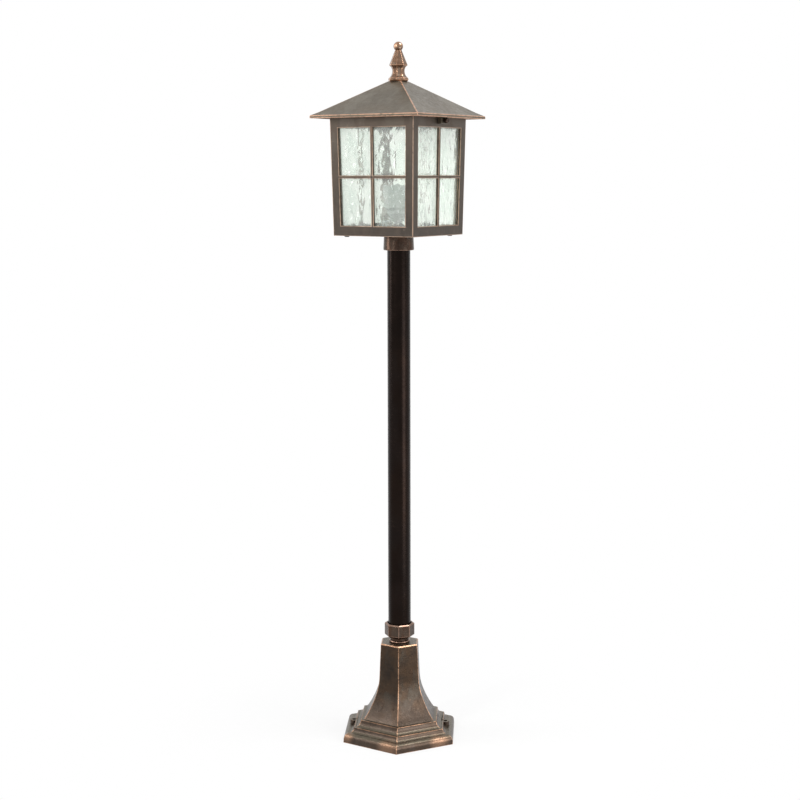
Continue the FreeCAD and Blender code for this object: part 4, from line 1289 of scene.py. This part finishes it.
@dataclass
class Finial:
    """Octagonal finial with its ball."""

    material: bpy.types.Material
    low: float = 1135.0
    cone_rise: float = 51.4
    ball_radius: float = 8.0
    ball_z: float = 1192.0
    thread: float = 3.0
    depth: float = 16.0

    def build(self) -> None:
        """Make the finial."""
        rises = traced(
            (15.0, 0.0), (16.2, 2.4), (15.4, 5.2), (9.9, 15.6, 13.5, -1, 8), (9.9, 18.8),
            (11.4, 23.0), (14.5, 25.8), (14.5, 26.7), (5.1, self.cone_rise))
        cone = sided(*((half, self.low + rise) for half, rise in rises))
        thread = circular((self.thread, self.low + self.depth), (self.thread, self.low))
        crown = sided((0.5, self.low + self.cone_rise), (0.5, self.low + self.depth + 1.0))
        blank = Blank().rings(cone + crown + thread, 8, 0.0, cuts=3, closed=True)
        blank.ease_edges(0.45, 0.5, worn=0.8)
        ball = Blank().ball(self.ball_radius, self.ball_z)
        layer = ball.mesh.verts.layers.float[WEAR]
        for vert in ball.mesh.verts:
            vert[layer] = 0.45 + 0.3 * (vert.co.z - self.ball_z) / self.ball_radius
        blank.join(ball)
        blank.finish("roof_finial", self.material, "finial", "finial_bronze", "finial")


@dataclass
class Hardware:
    """The small pieces whose CAD shape is right and that only need their finish."""

    pieces: tuple[tuple[PlainMetal | Moulded, tuple[str, ...]], ...] = (
        (ZINC, ("block_screw", "bracket_screws", "collar_grub_screws", "collar_lock_nut",
                "collar_washer", "coupling_grub_screws", "coupling_lock_nut", "coupling_washer",
                "earth_screw", "earth_washer", "finial_nut", "finial_stud", "finial_washer",
                "holder_bracket", "holder_nipple", "holder_nut", "strip_screws")),
        (CERAMIC, ("lampholder_cap", "lampholder_base", "lampholder_sleeve", "lampholder_core")),
        (BRASS, ("terminal_screws", "lampholder_contact")),
        (DARK_BRASS, ("glass_strips",)),
        (NICKEL, ("lampholder_shell",)),
        (DARK_STEEL, ("floor_screws",)),
        (NYLON, ("terminal_block",)),
        (RUBBER, ("cable_bush",)))

    def dress(self, body_bronze: bpy.types.Material) -> None:
        """Give every remaining node its finish.

        Args:
            body_bronze: the finish of the lantern's floor.
        """
        for finish, nodes in self.pieces:
            dress(finish.make(), *nodes)
        dress(body_bronze, "lantern_floor")


# ---- studio ----

def stand(azimuth: float, distance: float, height: float) -> Vector:
    """Give the spot at an azimuth in degrees from the front, a distance and a height."""
    turn = math.radians(azimuth)
    return Vector((distance * math.sin(turn), -distance * math.cos(turn), height))


@dataclass
class Softbox:
    """One area lamp; its place and size are in metres, its glow is a surface's brightness."""

    name: str
    azimuth: float
    distance: float
    height: float
    width: float
    tall: float
    glow: float

    def light(self, aim: Vector) -> None:
        """Hang the lamp and turn it to the aim.

        Args:
            aim: the point that it faces, in metres.
        """
        lamp = bpy.data.lights.new(self.name, "AREA")
        lamp.shape, lamp.size, lamp.size_y = "RECTANGLE", self.width, self.tall
        lamp.energy = self.glow * math.pi * self.width * self.tall
        item = bpy.data.objects.new(self.name, lamp)
        item.location = stand(self.azimuth, self.distance, self.height)
        item.rotation_euler = (aim - item.location).to_track_quat("-Z", "Y").to_euler()
        item.visible_camera = False
        bpy.context.scene.collection.objects.link(item)


@dataclass
class Studio:
    """Pale floor, white surroundings, soft lamps and the camera at the photograph's place.

    Lengths are in metres and angles in degrees, apart from the pan, which is in radians.
    """

    camera_azimuth: float = 33.2
    camera_distance: float = 2.690
    camera_height: float = 0.9763
    camera_pitch: float = 8.05
    pan: float = 0.0006
    roll: float = -0.12
    lens: float = 70.98
    ambient: float = 0.4
    shadow: float = 0.18
    lantern_aim: float = 0.7
    foot_aim: float = 0.08
    floor_radius: float = 40.0

    def floor(self) -> None:
        """Lay the floor; far from the lantern it is the same white as the background."""
        mesh = bmesh.new()
        bmesh.ops.create_circle(mesh, cap_ends=True, radius=self.floor_radius, segments=96)
        data = bpy.data.meshes.new("studio_floor")
        mesh.to_mesh(data)
        mesh.free()
        material, tree = new_material("pale_floor")
        reach = tree.node("ShaderNodeVectorMath", {"operation": "LENGTH"}, {0: tree.here()},
                          out="Value")
        share = self._seen(tree) * (1.0 - self.shadow + self.shadow * reach.ease(0.12, 0.5))
        speck = tree.noise(tree.place(), 60.0)
        colour = tree.mix(speck, (0.84, 0.84, 0.84), (0.88, 0.88, 0.88))
        matt = tree.shader({"Base Color": colour, "Roughness": 0.8, "Specular IOR Level": 0.2})
        white = tree.node("ShaderNodeEmission", None, {"Color": WHITE, "Strength": 1.0})
        below = tree.node("ShaderNodeNewGeometry", out="Backfacing")
        unseen = tree.node("ShaderNodeBsdfTransparent")
        tree.output(tree.blend(below, tree.blend(share, matt, white), unseen))
        data.materials.append(material)
        item = bpy.data.objects.new("studio_floor", data)
        bpy.context.scene.collection.objects.link(item)

    @staticmethod
    def _seen(tree: Tree) -> Value:
        """Give 1 for rays that show the background: from the camera, in gloss or through glass."""
        seen = tree.ray("Is Camera Ray").over(tree.ray("Is Glossy Ray"))
        return seen.over(tree.ray("Is Transmission Ray"))

    def surroundings(self) -> None:
        """Light the world softly and show it white."""
        world = bpy.data.worlds.new("studio")
        world.use_nodes = True
        bpy.context.scene.world = world
        tree = Tree(world.node_tree)
        soft, white = (
            tree.node("ShaderNodeBackground", None, {"Color": WHITE, "Strength": strength})
            for strength in (self.ambient, 1.0))
        tree.output(tree.blend(self._seen(tree), soft, white), "World")

    def camera(self) -> None:
        """Set the camera where the photograph was taken from."""
        lens = bpy.data.cameras.new("camera")
        lens.lens, lens.sensor_width, lens.sensor_fit = self.lens, 36.0, "HORIZONTAL"
        lens.clip_end = 200.0
        item = bpy.data.objects.new("camera", lens)
        turn = math.radians(self.camera_azimuth)
        item.location = stand(self.camera_azimuth, self.camera_distance, self.camera_height)
        facing = Matrix.Rotation(turn - self.pan, 3, "Z")
        pitched = Matrix.Rotation(math.radians(90 - self.camera_pitch), 3, "X")
        rolled = Matrix.Rotation(math.radians(self.roll), 3, "Z")
        item.rotation_euler = (facing @ pitched @ rolled).to_euler()
        bpy.context.scene.collection.objects.link(item)
        bpy.context.scene.camera = item

    def build(self) -> None:
        """Set up the floor, the surroundings, the lamps and the camera."""
        bpy.context.scene.view_settings.view_transform = "Standard"
        self.floor()
        self.surroundings()
        for lamp, aim in (
                (Softbox("key", -58.0, 2.3, 1.5, 0.8, 2.0, 5.5), self.lantern_aim),
                (Softbox("strip", -6.0, 2.0, 1.6, 0.14, 1.0, 34.0), self.lantern_aim),
                (Softbox("side", 120.0, 2.2, 0.7, 0.25, 1.6, 2.0), self.lantern_aim),
                (Softbox("top", 110.0, 1.3, 2.9, 1.0, 1.0, 12.0), self.lantern_aim),
                (Softbox("low", 84.0, 1.1, 0.4, 0.6, 0.7, 4.0), self.foot_aim)):
            lamp.light(Vector((0.0, 0.0, aim)))
        self.camera()


def main() -> None:
    """Build and dress every piece, in order."""
    logging.basicConfig(level=logging.INFO, format="%(name)s %(message)s")
    Studio().build()
    log.info("studio ready")
    fitting, body_bronze = FITTING.make(), BODY.make()
    body = LanternBody(body_bronze)
    for piece in (
            Foot(CAST.make()), PoleSocket(fitting), Pole(POLE.make()), LanternCollar(fitting),
            body, Glazing(GLASS.make(), body), Roof(ROOF.make()),
            ThumbScrew(fitting, "right", 0.0), ThumbScrew(fitting, "left", 180.0),
            Finial(FINIAL.make())):
        piece.build()
    Hardware().dress(body_bronze)


if __name__ == "__main__":
    main()
